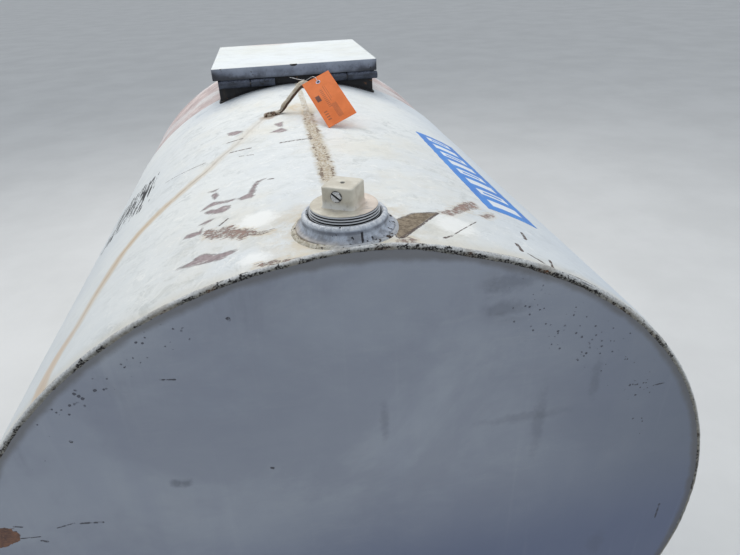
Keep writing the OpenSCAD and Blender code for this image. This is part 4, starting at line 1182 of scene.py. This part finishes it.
def hatch_side(start, end, inward, seed):
    """An upright plate along a line of the plan, its foot on the steel, dented by up to 1 mm."""
    u, v = np.linspace(0, 1, 60)[:, None], np.linspace(0, 1, 12)[None]
    inward = np.array(inward)
    skins = []
    for into in (0, 1):
        x = start[0] + (end[0] - start[0]) * u + inward[0] * into * hatch_plate
        y = start[1] + (end[1] - start[1]) * u + inward[1] * into * hatch_plate
        foot = shell_top(x, y)
        skins.append(np.stack([x + 0 * v, y + 0 * v, foot + (hatch_top - foot) * v], -1))
    dent = 0.0009 * np.clip(ripple(skins[0], 0.16, seed), 0, 1.2) * np.sin(pi * u) * np.sin(pi * v)
    return slab(*(skin + dent[..., None] * np.append(inward, 0.0) for skin in skins))


f = Finish("Grimy steel", specular=0.4)
mist = f.noise(14, 6, 0.68)
fine = f.noise(120, 5, 0.7)
f.base = f.blend(f.level(mist, 0.34, 0.66), (22, 22, 24), (40, 40, 43))
f.coat(f.level(fine, 0.52, 0.7) * 0.3, 70, 69, 73)
runs = f.drawn((60, 60, 5), 5, 0.65)
f.coat(f.level(runs, 0.56, 0.7) * 0.4, 84, 72, 60)
rust = f.use(old_rust, Scale=90)
flake = f.use(chips, Size=0.007, Amount=0.45)
f.coat(flake["Mask"] * 0.7, rust["Color"])
height = fine * 0.5 + mist * 0.5
grimy_steel = f.dress(f.level(mist, 0.3, 0.7, 0.5, 0.72), height, 0.0009)

w = hatch_half_w
for name, start, end, inward, seed in (
        ("front", (-w, hatch_front_y), (w, hatch_front_y), (0, 1.0), 91),
        ("back", (w, hatch_back_y), (-w, hatch_back_y), (0, -1.0), 92),
        ("left", (-w, hatch_back_y - hatch_plate), (-w, hatch_front_y + hatch_plate), (1.0, 0), 93),
        ("right", (w, hatch_front_y + hatch_plate), (w, hatch_back_y - hatch_plate), (-1.0, 0), 94)):
    softened(piece(f"hatch_{name}_plate", f"hatch_{name}_wall", hatch_side(start, end, inward, seed),
                   (grimy_steel,)), 0.0007)

hatch_mid_y = (hatch_front_y + hatch_back_y) / 2
ring = rounded_ring(w + 0.0012, w + 0.0012, 0.004, 0) + np.array([0, hatch_mid_y, 0])
ring = filled_in(np.concatenate([ring, ring[:1]]), 0.0028)[:-1]
ring[:, 2] = shell_top(ring[:, 0], ring[:, 1]) + 0.0004
ring_size = bead_size(ring, 12, 0.0028, 0.0045, 95)
piece("hatch_bead", "hatch_weld", tube(ring, np.array([0, 0, 1.0]), ring_size, 12), (grimy_steel,),
      crease=60)


# Lid: one folded steel pan, its skirt hanging over the box, lightly dished and dented.
# White enamel on top, brushed by the weather from side to side. The skirt is painted grey-blue as shade,
# lighter near the fold, with black smudges.
lid_half, lid_mid_y, fold = 0.2285, 0.5035, 0.003
lid_front_y, lip_z, inner_half = lid_mid_y - lid_half, lid_z - lid_skirt, lid_half - lid_plate
top_rings = [(h, 0.006, lid_z, 0) for h in np.linspace(0.004, lid_half - fold, 46)]
fold_rings = [(lid_half - fold + fold * sin(a), 0.006, lid_z - fold + fold * cos(a), a / (pi / 2))
              for a in np.radians([18, 36, 54, 72, 90])]
skirt_rings = [(lid_half, 0.006, z, 1) for z in np.linspace(lid_z - fold - 0.002, lip_z + 0.0006, 9)]
lip_rings = [(lid_half - 0.0006, 0.0055, lip_z, 1), (lid_half - 0.0024, 0.0038, lip_z, 2),
             (inner_half, 0.003, lip_z + 0.0006, 2)]
inner_rings = [(inner_half, 0.003, z, 2) for z in np.linspace(lip_z + 0.003, lid_z - lid_plate - 0.0005, 6)]
inner_rings += [(h, 0.003, lid_z - lid_plate, 2) for h in np.linspace(inner_half - 0.0006, 0.004, 24)]
rows = top_rings + fold_rings + skirt_rings + lip_rings + inner_rings
pan = np.stack([rounded_ring(half, half, corner, z, 5, 40) for half, corner, z, _ in rows])
reach = np.maximum(np.abs(pan[..., 0]), np.abs(pan[..., 1]))
calm = 1 - ease(reach, 0.17, 0.222)
flat = pan[..., :2]
dish = 0.0016 * calm * np.clip(0.8 + 0.5 * ripple(flat, 0.30, 101) + 0.25 * ripple(flat, 0.10, 102), 0, 2)
pan[..., 2] -= dish
bulge = 0.0009 * ease(reach, 0.224, 0.227) * np.clip(ripple(flat, 0.16, 103), 0, 1.2)
bulge *= ease(lid_z - pan[..., 2], 0.004, 0.014)
pan[..., :2] *= (1 - bulge / np.maximum(reach, 0.01))[..., None]
points, faces = lofted(pan + np.array([0, lid_mid_y, 0]))
where_on = np.append(np.repeat([kind for _, _, _, kind in rows], pan.shape[1]), [0, 2])

f = Finish("Lid enamel", specular=0.4)
kind = f.mark("kind")
paint = f.use(chalk, Clean=colour(224, 229, 230), Dull=colour(216, 218, 211), Streak=colour(194, 197, 198),
              Streaks=0.45, Scale=1.3)
depth, side, high = f.y, f.x, f.z
far = f.level(depth, 0.702, 0.724) * f.level(abs(side + 0.06), 0.09, 0.04)
top = f.blend(far * 0.5, paint["Color"], (206, 184, 176))
mist = f.noise(16, 6, 0.66)
fine = f.noise(140, 5, 0.7)
# The skirt's grey-blue is painted shade on the lid's white enamel
shaded_skirt = f.blend(f.level(mist, 0.36, 0.64), (130, 137, 152), (104, 110, 124))
shaded_skirt = f.blend(f.level(fine, 0.52, 0.66) * 0.5, shaded_skirt, (84, 86, 92))
# Dark smudges along the skirt's lip and at its corners
low = high - lip_z - mist * 0.03
at_ends = f.most(f.level(side, -0.06, -0.13, 0.25, 1), f.level(side, 0.15, 0.2, 0.25, 1))
on_front = f.level(depth, lid_front_y + 0.004, lid_front_y + 0.010)
smudge = f.level(low, 0.0015, -0.012) * f.most(at_ends, on_front)
shaded_skirt = f.blend(smudge * 0.85, shaded_skirt, (42, 42, 46))
both_ends = abs(side) * abs(depth - lid_mid_y)
ends = f.level(both_ends, 0.047, 0.052) * f.level(mist, 0.3, 0.5)
shaded_skirt = f.blend(ends * 0.85, shaded_skirt, (46, 46, 50))
# Painted light: the skirt lighter towards the fold
rolled = f.level(high - mist * 0.01, lid_z - 0.022, lid_z - 0.008)
shaded_skirt = f.blend(rolled * 0.42, shaded_skirt, (164, 172, 186))
foot_dirt = f.level(high - mist * 0.014, lid_z - 0.03, lid_z - 0.038, 0, 0.55)
shaded_skirt = f.blend(foot_dirt, shaded_skirt, (58, 60, 66))
# Specks, the rusty underside, and a nick in the front fold
specks = f.use(chips, Size=0.004, Amount=0.42)
shaded_skirt = f.blend(specks["Mask"], shaded_skirt, (58, 54, 54))
under = f.blend(f.level(mist, 0.35, 0.62), (92, 88, 82), (58, 54, 50))
rust = f.use(old_rust, Scale=50)
under = f.blend(f.level(f.noise(24, 6, 0.7), 0.52, 0.6), under, rust["Color"])
f.base = f.blend(f.level(kind, 0.35, 0.65), top, shaded_skirt)
f.coat(f.level(kind, 1.4, 1.6), under)
nick = f.length((side + 0.005) * 0.42, high - (lid_z - 0.001))
nick = f.level(nick + fine * 0.0012, 0.0054, 0.0044)
nick = nick * f.level(depth, lid_front_y + 0.004, lid_front_y + 0.002)
f.coat(nick, 34, 30, 28)
height = paint["Height"] * 0.08 - f.most(nick, specks["Mask"])
lid_enamel = f.dress(f.level(kind, 0.4, 1.4, 0.42, 0.62), height, 0.0007)
piece("lid_pan", "lid", (points, faces), (lid_enamel,), {"kind": where_on}, body="lid",
      crease=40)


# Hinges: each side has a barrel on the lid and a shorter one on the box, on one pin, each with a welded leaf.
# The barrels are pipe ends painted with the box, greasy and dark, with a grey painted highlight along their
# tops.
hinge_y, hinge_z, barrel_r, pin_r = 0.278, 1.390, 0.010, 0.005
lid_barrel_x, box_barrel_x, pin_l = (0.1425, 0.2285), (0.0745, 0.1405), 0.154
lid_leaf_y, lid_leaf_top, box_leaf_y, left_shift = (0.2781, 0.2810), 1.4270, (0.2851, 0.2879), 0.014
barrel_line = [(0.0051, 0), (0.0085, 0), (0.0096, 0.0004), (barrel_r, 0.0014)]


def barrel(from_x, to_x):
    """A pipe end along X with both ends eased."""
    ends = np.array(barrel_line)
    far = ends[::-1] * np.array([1, -1]) + np.array([0, to_x - from_x])
    line = filled_in(np.concatenate([ends, far]), 0.004)
    return turned(line, 56, (from_x, hinge_y, hinge_z), "X", worn_round, True)


def worn_round(points):
    """Hammer marks and weld spatter on a barrel: the radius less up to 0.3 mm."""
    local = points - np.array([0, hinge_y, hinge_z])
    across = np.hypot(local[..., 1], local[..., 2])
    worn = 0.0003 * np.clip(ripple(points, 0.014, 111), 0, 1) * (across > 0.008)
    local[..., 1:] *= (1 - worn / across)[..., None]
    return local + np.array([0, hinge_y, hinge_z])


def brick(low, high, step=0.008):
    """A closed box of even cells between its lowest and highest corners."""
    x_lines, z_lines = steps((low[0], 1), (high[0], step)), steps((low[2], 1), (high[2], step))
    x, z = np.meshgrid(x_lines, z_lines, indexing="ij")
    return slab(np.stack([x, 0 * x + low[1], z], -1), np.stack([x, 0 * x + high[1], z], -1))


def mirrored(shape):
    """The same shape for the left side, which sits 14 mm further in."""
    points, faces = shape
    return points * np.array([-1, 1, 1]) + np.array([left_shift, 0, 0]), faces


f = Finish("Hinge steel", specular=0.5)
mist = f.noise(40, 6, 0.68)
fine = f.noise(220, 4, 0.7)
facing = f.axes(f.add("TexCoord")["Normal"])[2]
f.base = f.blend(f.level(mist, 0.36, 0.62), (68, 74, 88), (44, 48, 58))
# Painted highlight on the upward faces, broken by noise
crown = f.level(facing, 0.25, 0.9) * f.level(fine, 0.4, 0.62)
f.coat(crown * 0.55, 116, 124, 142)
spots = f.use(chips, Size=0.0045, Amount=0.62)
f.coat(spots["Mask"], 30, 29, 31)
hinge_steel = f.dress(f.level(mist, 0.3, 0.7, 0.4, 0.6), fine - spots["Mask"], 0.0006)

f = Finish("Pin steel", metallic=0.7, specular=0.5)
mist = f.noise(180, 5, 0.7)
rust = f.use(old_rust, Scale=200)
rusty = f.level(mist, 0.44, 0.6)
f.base = f.blend(rusty, (120, 118, 116), rust["Color"])
pin_steel = f.dress(f.level(rusty, 0, 1, 0.4, 0.8), mist, 0.0002, 0.75 - rusty * 0.7)
pin_line = filled_in(np.array([(0.001, 0.0), (0.0042, 0.0), (pin_r, 0.0008), (pin_r, pin_l - 0.0008),
                               (0.0042, pin_l), (0.001, pin_l)]), 0.004)
pin = turned(pin_line, 40, (box_barrel_x[0], hinge_y, hinge_z), "X")
lid_leaf = brick((lid_barrel_x[0] + 0.002, lid_leaf_y[0], hinge_z),
                 (lid_barrel_x[1] - 0.008, lid_leaf_y[1], lid_leaf_top))
box_leaf = brick((box_barrel_x[0] + 0.001, box_leaf_y[0], hinge_z - barrel_r),
                 (box_barrel_x[1] - 0.001, box_leaf_y[1], hinge_z))
for side, turn_over in (("right", lambda shape: shape), ("left", mirrored)):
    for on, body, ends, leaf in (("lid", "lid", lid_barrel_x, lid_leaf),
                                 ("box", "tank", box_barrel_x, box_leaf)):
        shape = turn_over(joined(barrel(*ends), leaf))
        softened(piece(f"{side}_barrel_on_{on}", f"{side}_{on}_barrel", shape, (hinge_steel,),
                       body=body, crease=40), 0.0005)
    piece(f"{side}_pin", f"{side}_hinge_pin", turn_over(pin), (pin_steel,), crease=40)


# Tag: a stiff orange card that stands on one corner, hung by its metal eyelet on a thin tie wire.
# Fluorescent orange with a fine grain, slightly curled, with plain printed bars and blocks.
tag_w, tag_l, tag_t, eyelet_in, eyelet_r, tag_x = 0.065, 0.143, 0.0008, 0.016, 0.005, 0.0335
tag_corner = np.array([tag_x, lug_y - 0.168, axis_z + (shell_r ** 2 - tag_x ** 2) ** 0.5 + 0.0002])
tag_turn = np.array(Euler((radians(30), radians(-22.5), radians(6)), "XYZ").to_matrix())


def on_tag(x, y, z):
    """A point of the card: x to its right and y up its length, from its lowest corner."""
    return np.stack(np.broadcast_arrays(x, y, z), -1) @ tag_turn.T + tag_corner


hole_x, hole_y = tag_w / 2, tag_l - eyelet_in
card_x = steps((0, 1), (hole_x - 0.006, 0.003), (hole_x + 0.006, 0.0008), (tag_w, 0.003))
card_y = steps((0, 1), (hole_y - 0.006, 0.003), (hole_y + 0.006, 0.0008), (tag_l, 0.003))
x, y = np.meshgrid(card_x, card_y, indexing="ij")
curl = 0.0012 * ease(np.hypot(x - hole_x, y - hole_y), 0.008, 0.05) * ripple(np.stack([x, y], -1), 0.12, 121)
curl = np.maximum(curl * ease(y, 0.0, 0.02), 0)
mid_x, mid_y = (x[1:, 1:] + x[:-1, :-1]) / 2, (y[1:, 1:] + y[:-1, :-1]) / 2
card_keep = np.hypot(mid_x - hole_x, mid_y - hole_y) > 0.0043
card = slab(on_tag(x, y, curl + tag_t), on_tag(x, y, curl), card_keep)

f = Finish("Tag card", specular=0.3)
flat = f.add("UVMap", {"uv_map": "unrolled"})[0]
tx, ty, _ = f.axes(flat)
grain = f.noise(700, 4, 0.7)
fade = f.noise(26, 4, 0.6)
f.base = f.blend(f.level(fade, 0.35, 0.65), (224, 114, 46), (210, 104, 42))
f.coat(f.level(grain, 0.4, 0.7) * 0.3, 230, 128, 66)
ink, ink_edge = None, 0.0003
for low_x, high_x, low_y, high_y, fill, repeat in (
        (0.0085, 0.0185, 0.0740, 0.0920, 0.92, 0.0),
        (0.0240, 0.0310, 0.0480, 0.1060, 0.45, 0.0052),
        (0.0080, 0.0160, 0.0140, 0.0440, 0.55, 0.0076),
        (0.0300, 0.0420, 0.0120, 0.0540, 0.60, 0.0022),
        (0.0345, 0.0355, 0.0620, 0.1100, 0.80, 0.0),
        (0.0385, 0.0393, 0.0680, 0.1080, 0.80, 0.0)):
    box_x = f.level(tx, low_x, low_x + ink_edge) * f.level(tx, high_x, high_x - ink_edge)
    box_y = f.level(ty, low_y, low_y + ink_edge) * f.level(ty, high_y, high_y - ink_edge)
    block = box_x * box_y
    if repeat:
        phase = abs(f.math("FRACT", ty / repeat) - 0.5)
        block = block * f.level(phase, 0.26, 0.22)
    block = block * fill
    ink = block if ink is None else f.most(ink, block)
printed = ink * f.level(f.axes(f.add("TexCoord")["Normal"])[2], 0, 0.2)
f.coat(printed * 0.95, 62, 42, 42)
tag_card = f.dress(f.level(fade, 0.3, 0.7, 0.48, 0.62), grain, 0.0001)
piece("tag_card", "paper_tag", card, (tag_card,), None, np.stack([x, y], -1).reshape(-1, 2),
      crease=40)

lip = np.array([(0.0043, 0.0), (eyelet_r, 0.0001), (0.0048, 0.0003), (0.0042, 0.0004), (0.0037, 0.0002)])
ring_line = filled_in(np.concatenate([lip[::-1] * np.array([1, -1]), lip + np.array([0, tag_t])]), 0.0006)
points, faces = turned(ring_line, 48, (hole_x, hole_y, 0), hollow=True)
f = Finish("Eyelet metal", metallic=0.6, specular=0.5)
mist = f.noise(700, 3, 0.6)
f.base = f.blend(f.level(mist, 0.35, 0.65), (196, 200, 222), (160, 162, 190))
eyelet_metal = f.dress(f.level(mist, 0.3, 0.7, 0.3, 0.5), mist, 0.00008)
piece("eyelet_ring", "tag_eyelet", (on_tag(*points.T), faces), (eyelet_metal,), crease=50)

# The wire's route: from its free end round the lug's top, through the eyelet from below and back
wire_r, reach, past = 0.0006, 0.003, 0.004
lug_crown = np.array([0, lug_y, crown_z + lug_h - rod_r])
wrap_r = rod_r + 2 * wire_r
wraps = np.radians(np.arange(120, -121, -40))
wrap = lug_crown + wrap_r / cos(radians(20)) * np.stack([0 * wraps, np.cos(wraps), np.sin(wraps)], 1)
wrap[:, 0] += wraps / radians(120) * 0.002
free_end, back_end = np.array([-0.030, -0.004, 0.008 + wrap_r]), np.array([0.005, -wrap_r, wrap_r])
through = [on_tag(hole_x, tag_l + past, -reach), on_tag(hole_x, hole_y, -reach),
           on_tag(hole_x, hole_y, tag_t + reach), on_tag(hole_x, tag_l + past, tag_t + reach)]
route = np.concatenate([[lug_crown + free_end], wrap, through, [lug_crown + back_end]])
for _ in range(3):
    quarter, rest = 0.75 * route[:-1] + 0.25 * route[1:], 0.25 * route[:-1] + 0.75 * route[1:]
    route = np.concatenate([route[:1], np.stack([quarter, rest], 1).reshape(-1, 3), route[-1:]])
route = filled_in(route, 0.0016)
route += 0.00022 * np.stack([ripple(route, 0.02, seed) for seed in (122, 123, 124)], 1)
f = Finish("Tie wire", metallic=0.8, specular=0.5)
mist = f.noise(300, 3, 0.6)
f.base = f.blend(f.level(mist, 0.35, 0.65), (214, 214, 216), (168, 164, 160))
tie_wire = f.dress(f.level(mist, 0.3, 0.7, 0.3, 0.5), mist, 0.00005)
piece("wire_strand", "tag_wire", tube(route, np.array([0.3, 0.2, 1.0]), wire_r, 10, False), (tie_wire,),
      crease=60)


# Label: a vinyl strip stuck round the right flank, its edges a little lifted and its face lightly blistered.
# Blue, with a row of plain white bars across it, lightly scuffed.
label_s, label_y, label_h = shell_r * radians(27.8), (-0.590, -0.124), 0.098
s, y = np.meshgrid(np.linspace(label_s - label_h / 2, label_s + label_h / 2, 50),
                   np.linspace(label_y[0], label_y[1], 200), indexing="ij")
place = np.stack([s, y], -1)
from_edge = np.minimum(np.minimum(s - s.min(), s.max() - s), np.minimum(y - y.min(), y.max() - y))
edge_wave = 0.0008 * ripple(place, 0.03, 131) * ease(-from_edge, -0.004, 0)
blister = 0.00018 * np.clip(ripple(place, 0.022, 132) - 0.5, 0, 1)
wave = rolled_wave(s, y, shell_r, front_flat, front_ends)
top = on_shell(s + edge_wave, y + edge_wave, shell_r, wave + 0.0004 + blister)
label_sheet = slab(top, on_shell(s + edge_wave, y + edge_wave, shell_r, wave - 0.0002))

f = Finish("Label vinyl", specular=0.5)
flat = f.add("UVMap", {"uv_map": "unrolled"})[0]
ls, ly, _ = f.axes(flat)
mist = f.noise(18, 5, 0.65)
blue = f.blend(f.level(mist, 0.35, 0.65), (44, 118, 205), (66, 137, 216))
rag = (f.noise(160, 4, 0.7) - 0.5) * 0.0022
across = abs(ls + rag - label_s)
bars = f.level(across, 0.03, 0.029)
pitch_share = (ly + rag - (label_y[0] + 0.012)) / 0.0555
beat = abs(f.math("FRACT", pitch_share) - 0.5)
bars = bars * f.level(beat, 0.285, 0.27)
hollow = f.level(beat, 0.1, 0.085) * f.level(across, 0.02, 0.019)
odd = f.level(f.math("FRACT", f.math("FLOOR", pitch_share) * 0.5), 0.2, 0.3)
bars = bars - hollow * odd
bars = f.most(bars, 0) * f.level(ly, label_y[1] - 0.008, label_y[1] - 0.01)
f.base = f.blend(bars, blue, (226, 232, 238))
scuff = f.level(f.drawn((60, 8, 60), 5, 0.7), 0.6, 0.7)
f.coat(scuff * 0.35, 196, 210, 224)
label_vinyl = f.dress(f.level(mist, 0.3, 0.7, 0.32, 0.48), f.noise(90, 3), 0.0002)
piece("label_sheet", "side_label", label_sheet, (label_vinyl,), None, place.reshape(-1, 2))


# Stand: two channel skids, open side inward, with two webs on them that hold bands bent to the shell.
# Grey paint over rolled steel, rusty at the edges, splashed with mud low down. Each joint has a fillet weld.
skid_x, skid_w, skid_h, skid_t, skid_half_l = 0.320, 0.050, 0.100, 0.006, 0.705
saddle_t, wrap_half, band_w, band_t, past_band = 0.008, radians(60), 0.100, 0.005, 0.012
saddles = (("front", -0.475, shell_r), ("back", 0.475, back_r))
bead_z = skid_h + 0.0005

f = Finish("Stand paint", specular=0.4)
mist = f.noise(7, 6, 0.66)
fine = f.noise(110, 5, 0.7)
f.base = f.blend(f.level(mist, 0.35, 0.65), (150, 155, 162), (128, 133, 140))
streak = f.drawn((60, 60, 4), 5, 0.65)
f.coat(f.level(streak, 0.54, 0.7) * 0.5, 120, 98, 78)
rust = f.use(old_rust, Scale=60)
patches = f.level(f.noise(19, 7, 0.72), 0.555, 0.585)
f.coat(patches, rust["Color"])
spots = f.use(chips, Size=0.006, Amount=0.5)
f.coat(spots["Mask"], rust["Color"])
mud = f.level(f.z + mist * 0.14, 0.16, 0.03) * f.level(fine, 0.3, 0.6)
f.coat(mud * 0.75, 124, 112, 98)
height = fine * 0.35 - f.most(patches, spots["Mask"]) * (0.9 - rust["Height"])
stand_paint = f.dress(f.level(f.most(patches, mud), 0, 1, 0.5, 0.85), height, 0.0009)


def channel(side):
    """A channel along Y: the outer and the inner line of its section, with round corners, slightly dented."""
    inner_x, outer_x, big, small = skid_x - skid_w / 2, skid_x + skid_w / 2, 0.009, 0.004
    outside = np.concatenate([[(inner_x, 0)], arc_line((outer_x - big, big), big, 270, 360),
                              arc_line((outer_x - big, skid_h - big), big, 0, 90), [(inner_x, skid_h)]])
    bend_x, bend_z = outer_x - skid_t - small, skid_t + small
    inside = np.concatenate([[(inner_x, skid_t)], arc_line((bend_x, bend_z), small, 270, 360),
                             arc_line((bend_x, skid_h - bend_z), small, 0, 90), [(inner_x, skid_h - skid_t)]])
    runs = np.linspace(-skid_half_l, skid_half_l, 72)
    skins = []
    for line in (outside, inside):
        x, y = np.meshgrid(line[:, 0], runs, indexing="ij")
        z = line[:, 1:] + 0 * y
        nick = 0.0008 * np.clip(ripple(np.stack([x, y, z], -1), 0.09, 141), 0, 1) * (z > 0.02)
        skins.append(np.stack([side * (x - nick), y, z], -1))
    return slab(*skins)


for side, name in ((-1, "left"), (1, "right")):
    softened(piece(f"{name}_channel", f"{name}_skid", channel(side), (stand_paint,)), 0.0008)

for name, at, radius in saddles:
    seat_r = radius + band_t + 0.0001
    u, v = np.meshgrid(np.linspace(-1, 1, 97), np.linspace(0, 1, 14), indexing="ij")
    turn = np.clip(u * 1.04, -1, 1) * wrap_half
    top_x = seat_r * np.sin(turn) + np.sign(u) * np.clip((np.abs(u) * 1.04 - 1) / 0.04, 0, 1) * past_band
    top_z = axis_z - seat_r * np.cos(turn)
    low_x = u * (skid_x + skid_w / 2)
    x, z = low_x + (top_x - low_x) * v, skid_h + (top_z - skid_h) * v
    web = slab(*(np.stack([x, 0 * x + at + half * saddle_t / 2, z], -1) for half in (-1, 1)))
    softened(piece(f"{name}_web", f"{name}_saddle", web, (stand_paint,)), 0.0010)
    arc_s = radius * np.linspace(pi - wrap_half, pi + wrap_half, 110)
    s, y = np.meshgrid(arc_s, np.linspace(at - band_w / 2, at + band_w / 2, 12), indexing="ij")
    band = slab(on_shell(s, y, radius, band_t), on_shell(s, y, radius, 0.0002))
    softened(piece(f"{name}_band", f"{name}_saddle_band", band, (stand_paint,)), 0.0010)

    ribs, fillets = [], []
    for side in (-1, 1):
        for way in (-1, 1):
            y_in, y_out = at + way * (saddle_t / 2 - 0.0002), at + way * band_w / 2
            y, v = np.meshgrid(np.linspace(y_in, y_out, 8), np.linspace(0, 1, 14), indexing="ij")
            faces = []
            for x in (side * skid_x - saddle_t / 2, side * skid_x + saddle_t / 2):
                top = axis_z - (seat_r ** 2 - x ** 2) ** 0.5
                faces.append(np.stack([x + 0 * y, y, skid_h + (top - skid_h) * v], -1))
                post = np.array([(x, y_in, skid_h + 0.001), (x, y_in, top - 0.001)])
                foot = np.array([(x, y_in, bead_z), (x, y_out - way * 0.002, bead_z)])
                fillets += [(post, np.array([0, 1.0, 0])), (foot, np.array([0, 0, 1.0]))]
            ribs.append(slab(*faces))
        for y in (at - saddle_t / 2, at + saddle_t / 2):
            low = np.array([(side * (skid_x - skid_w / 2 + 0.002), y, bead_z),
                            (side * (skid_x + skid_w / 2 - 0.002), y, bead_z)])
            fillets.append((low, np.array([0, 0, 1.0])))
    softened(piece(f"{name}_ribs", f"{name}_gussets", joined(*ribs), (stand_paint,)), 0.0008)

    for y in (at - saddle_t / 2, at + saddle_t / 2):
        line = on_shell(arc_s[2:-2], y, seat_r)
        fillets.append((line, np.array([0, 1.0, 0])))
    for y in (at - band_w / 2, at + band_w / 2):
        for first, last in ((3, 28), (42, 67), (81, 106)):
            fillets.append((on_shell(arc_s[first:last], y, radius, 0.0012), np.array([0, 1.0, 0])))
    beads = []
    for k, (line, out) in enumerate(fillets):
        line = filled_in(line, 0.004)
        lump = bead_size(line, 8, 0.0026, 0.0040, 142 + k)
        lump[[0, -1]] *= 0.5
        beads.append(tube(line, out, lump, 8, False))
    piece(f"{name}_fillets", None, joined(*beads), (stand_paint,), crease=60)


# Floor and light: a plain pale floor, soft light from above and behind, weaker light from two sides.
# The front head stays in shade, as under a high roof.
f = Finish("Pale floor", specular=0.15)
grain = f.noise(1.4, 6, 0.6)
f.base = f.blend(f.level(grain, 0.3, 0.7), (214, 214, 212), (222, 222, 220))
pale_floor = f.dress(0.9)
mesh = bpy.data.meshes.new("Floor")
mesh.from_pydata([(-60, -60, 0), (60, -60, 0), (60, 60, 0), (-60, 60, 0)], [], [(0, 1, 2, 3)])
mesh.materials.append(pale_floor)
floor = bpy.data.objects.new("Floor", mesh)
bpy.context.scene.collection.objects.link(floor)

world = bpy.data.worlds.new("Soft sky")
bpy.context.scene.world = world
world.use_nodes = True
sky = world.node_tree.nodes["Background"].inputs
sky["Color"].default_value = (0.86, 0.92, 1.0, 1.0)
sky["Strength"].default_value = 0.58

for name, place, aim, size, power, tint in (
        ("Key", (-0.5, 1.9, 4.2), (0.0, 0.1, 1.0), (3.6, 3.0), 108, (1.0, 0.985, 0.96)),
        ("Fill", (3.4, -2.6, 3.4), (0.0, 0.0, 0.9), (3.0, 2.2), 34, (0.90, 0.95, 1.0)),
        ("Edge", (-4.6, -0.4, 2.4), (0.0, 0.0, 0.8), (2.4, 2.4), 16, (0.92, 0.96, 1.0))):
    lamp = bpy.data.lights.new(name, "AREA")
    lamp.shape = "RECTANGLE"
    lamp.size, lamp.size_y = size
    lamp.energy = power
    lamp.color = tint
    made = bpy.data.objects.new(name, lamp)
    bpy.context.scene.collection.objects.link(made)
    made.location = place
    made.rotation_euler = (Vector(aim) - Vector(place)).to_track_quat("-Z", "Y").to_euler()

settings = bpy.context.scene.view_settings
settings.view_transform = "Standard"
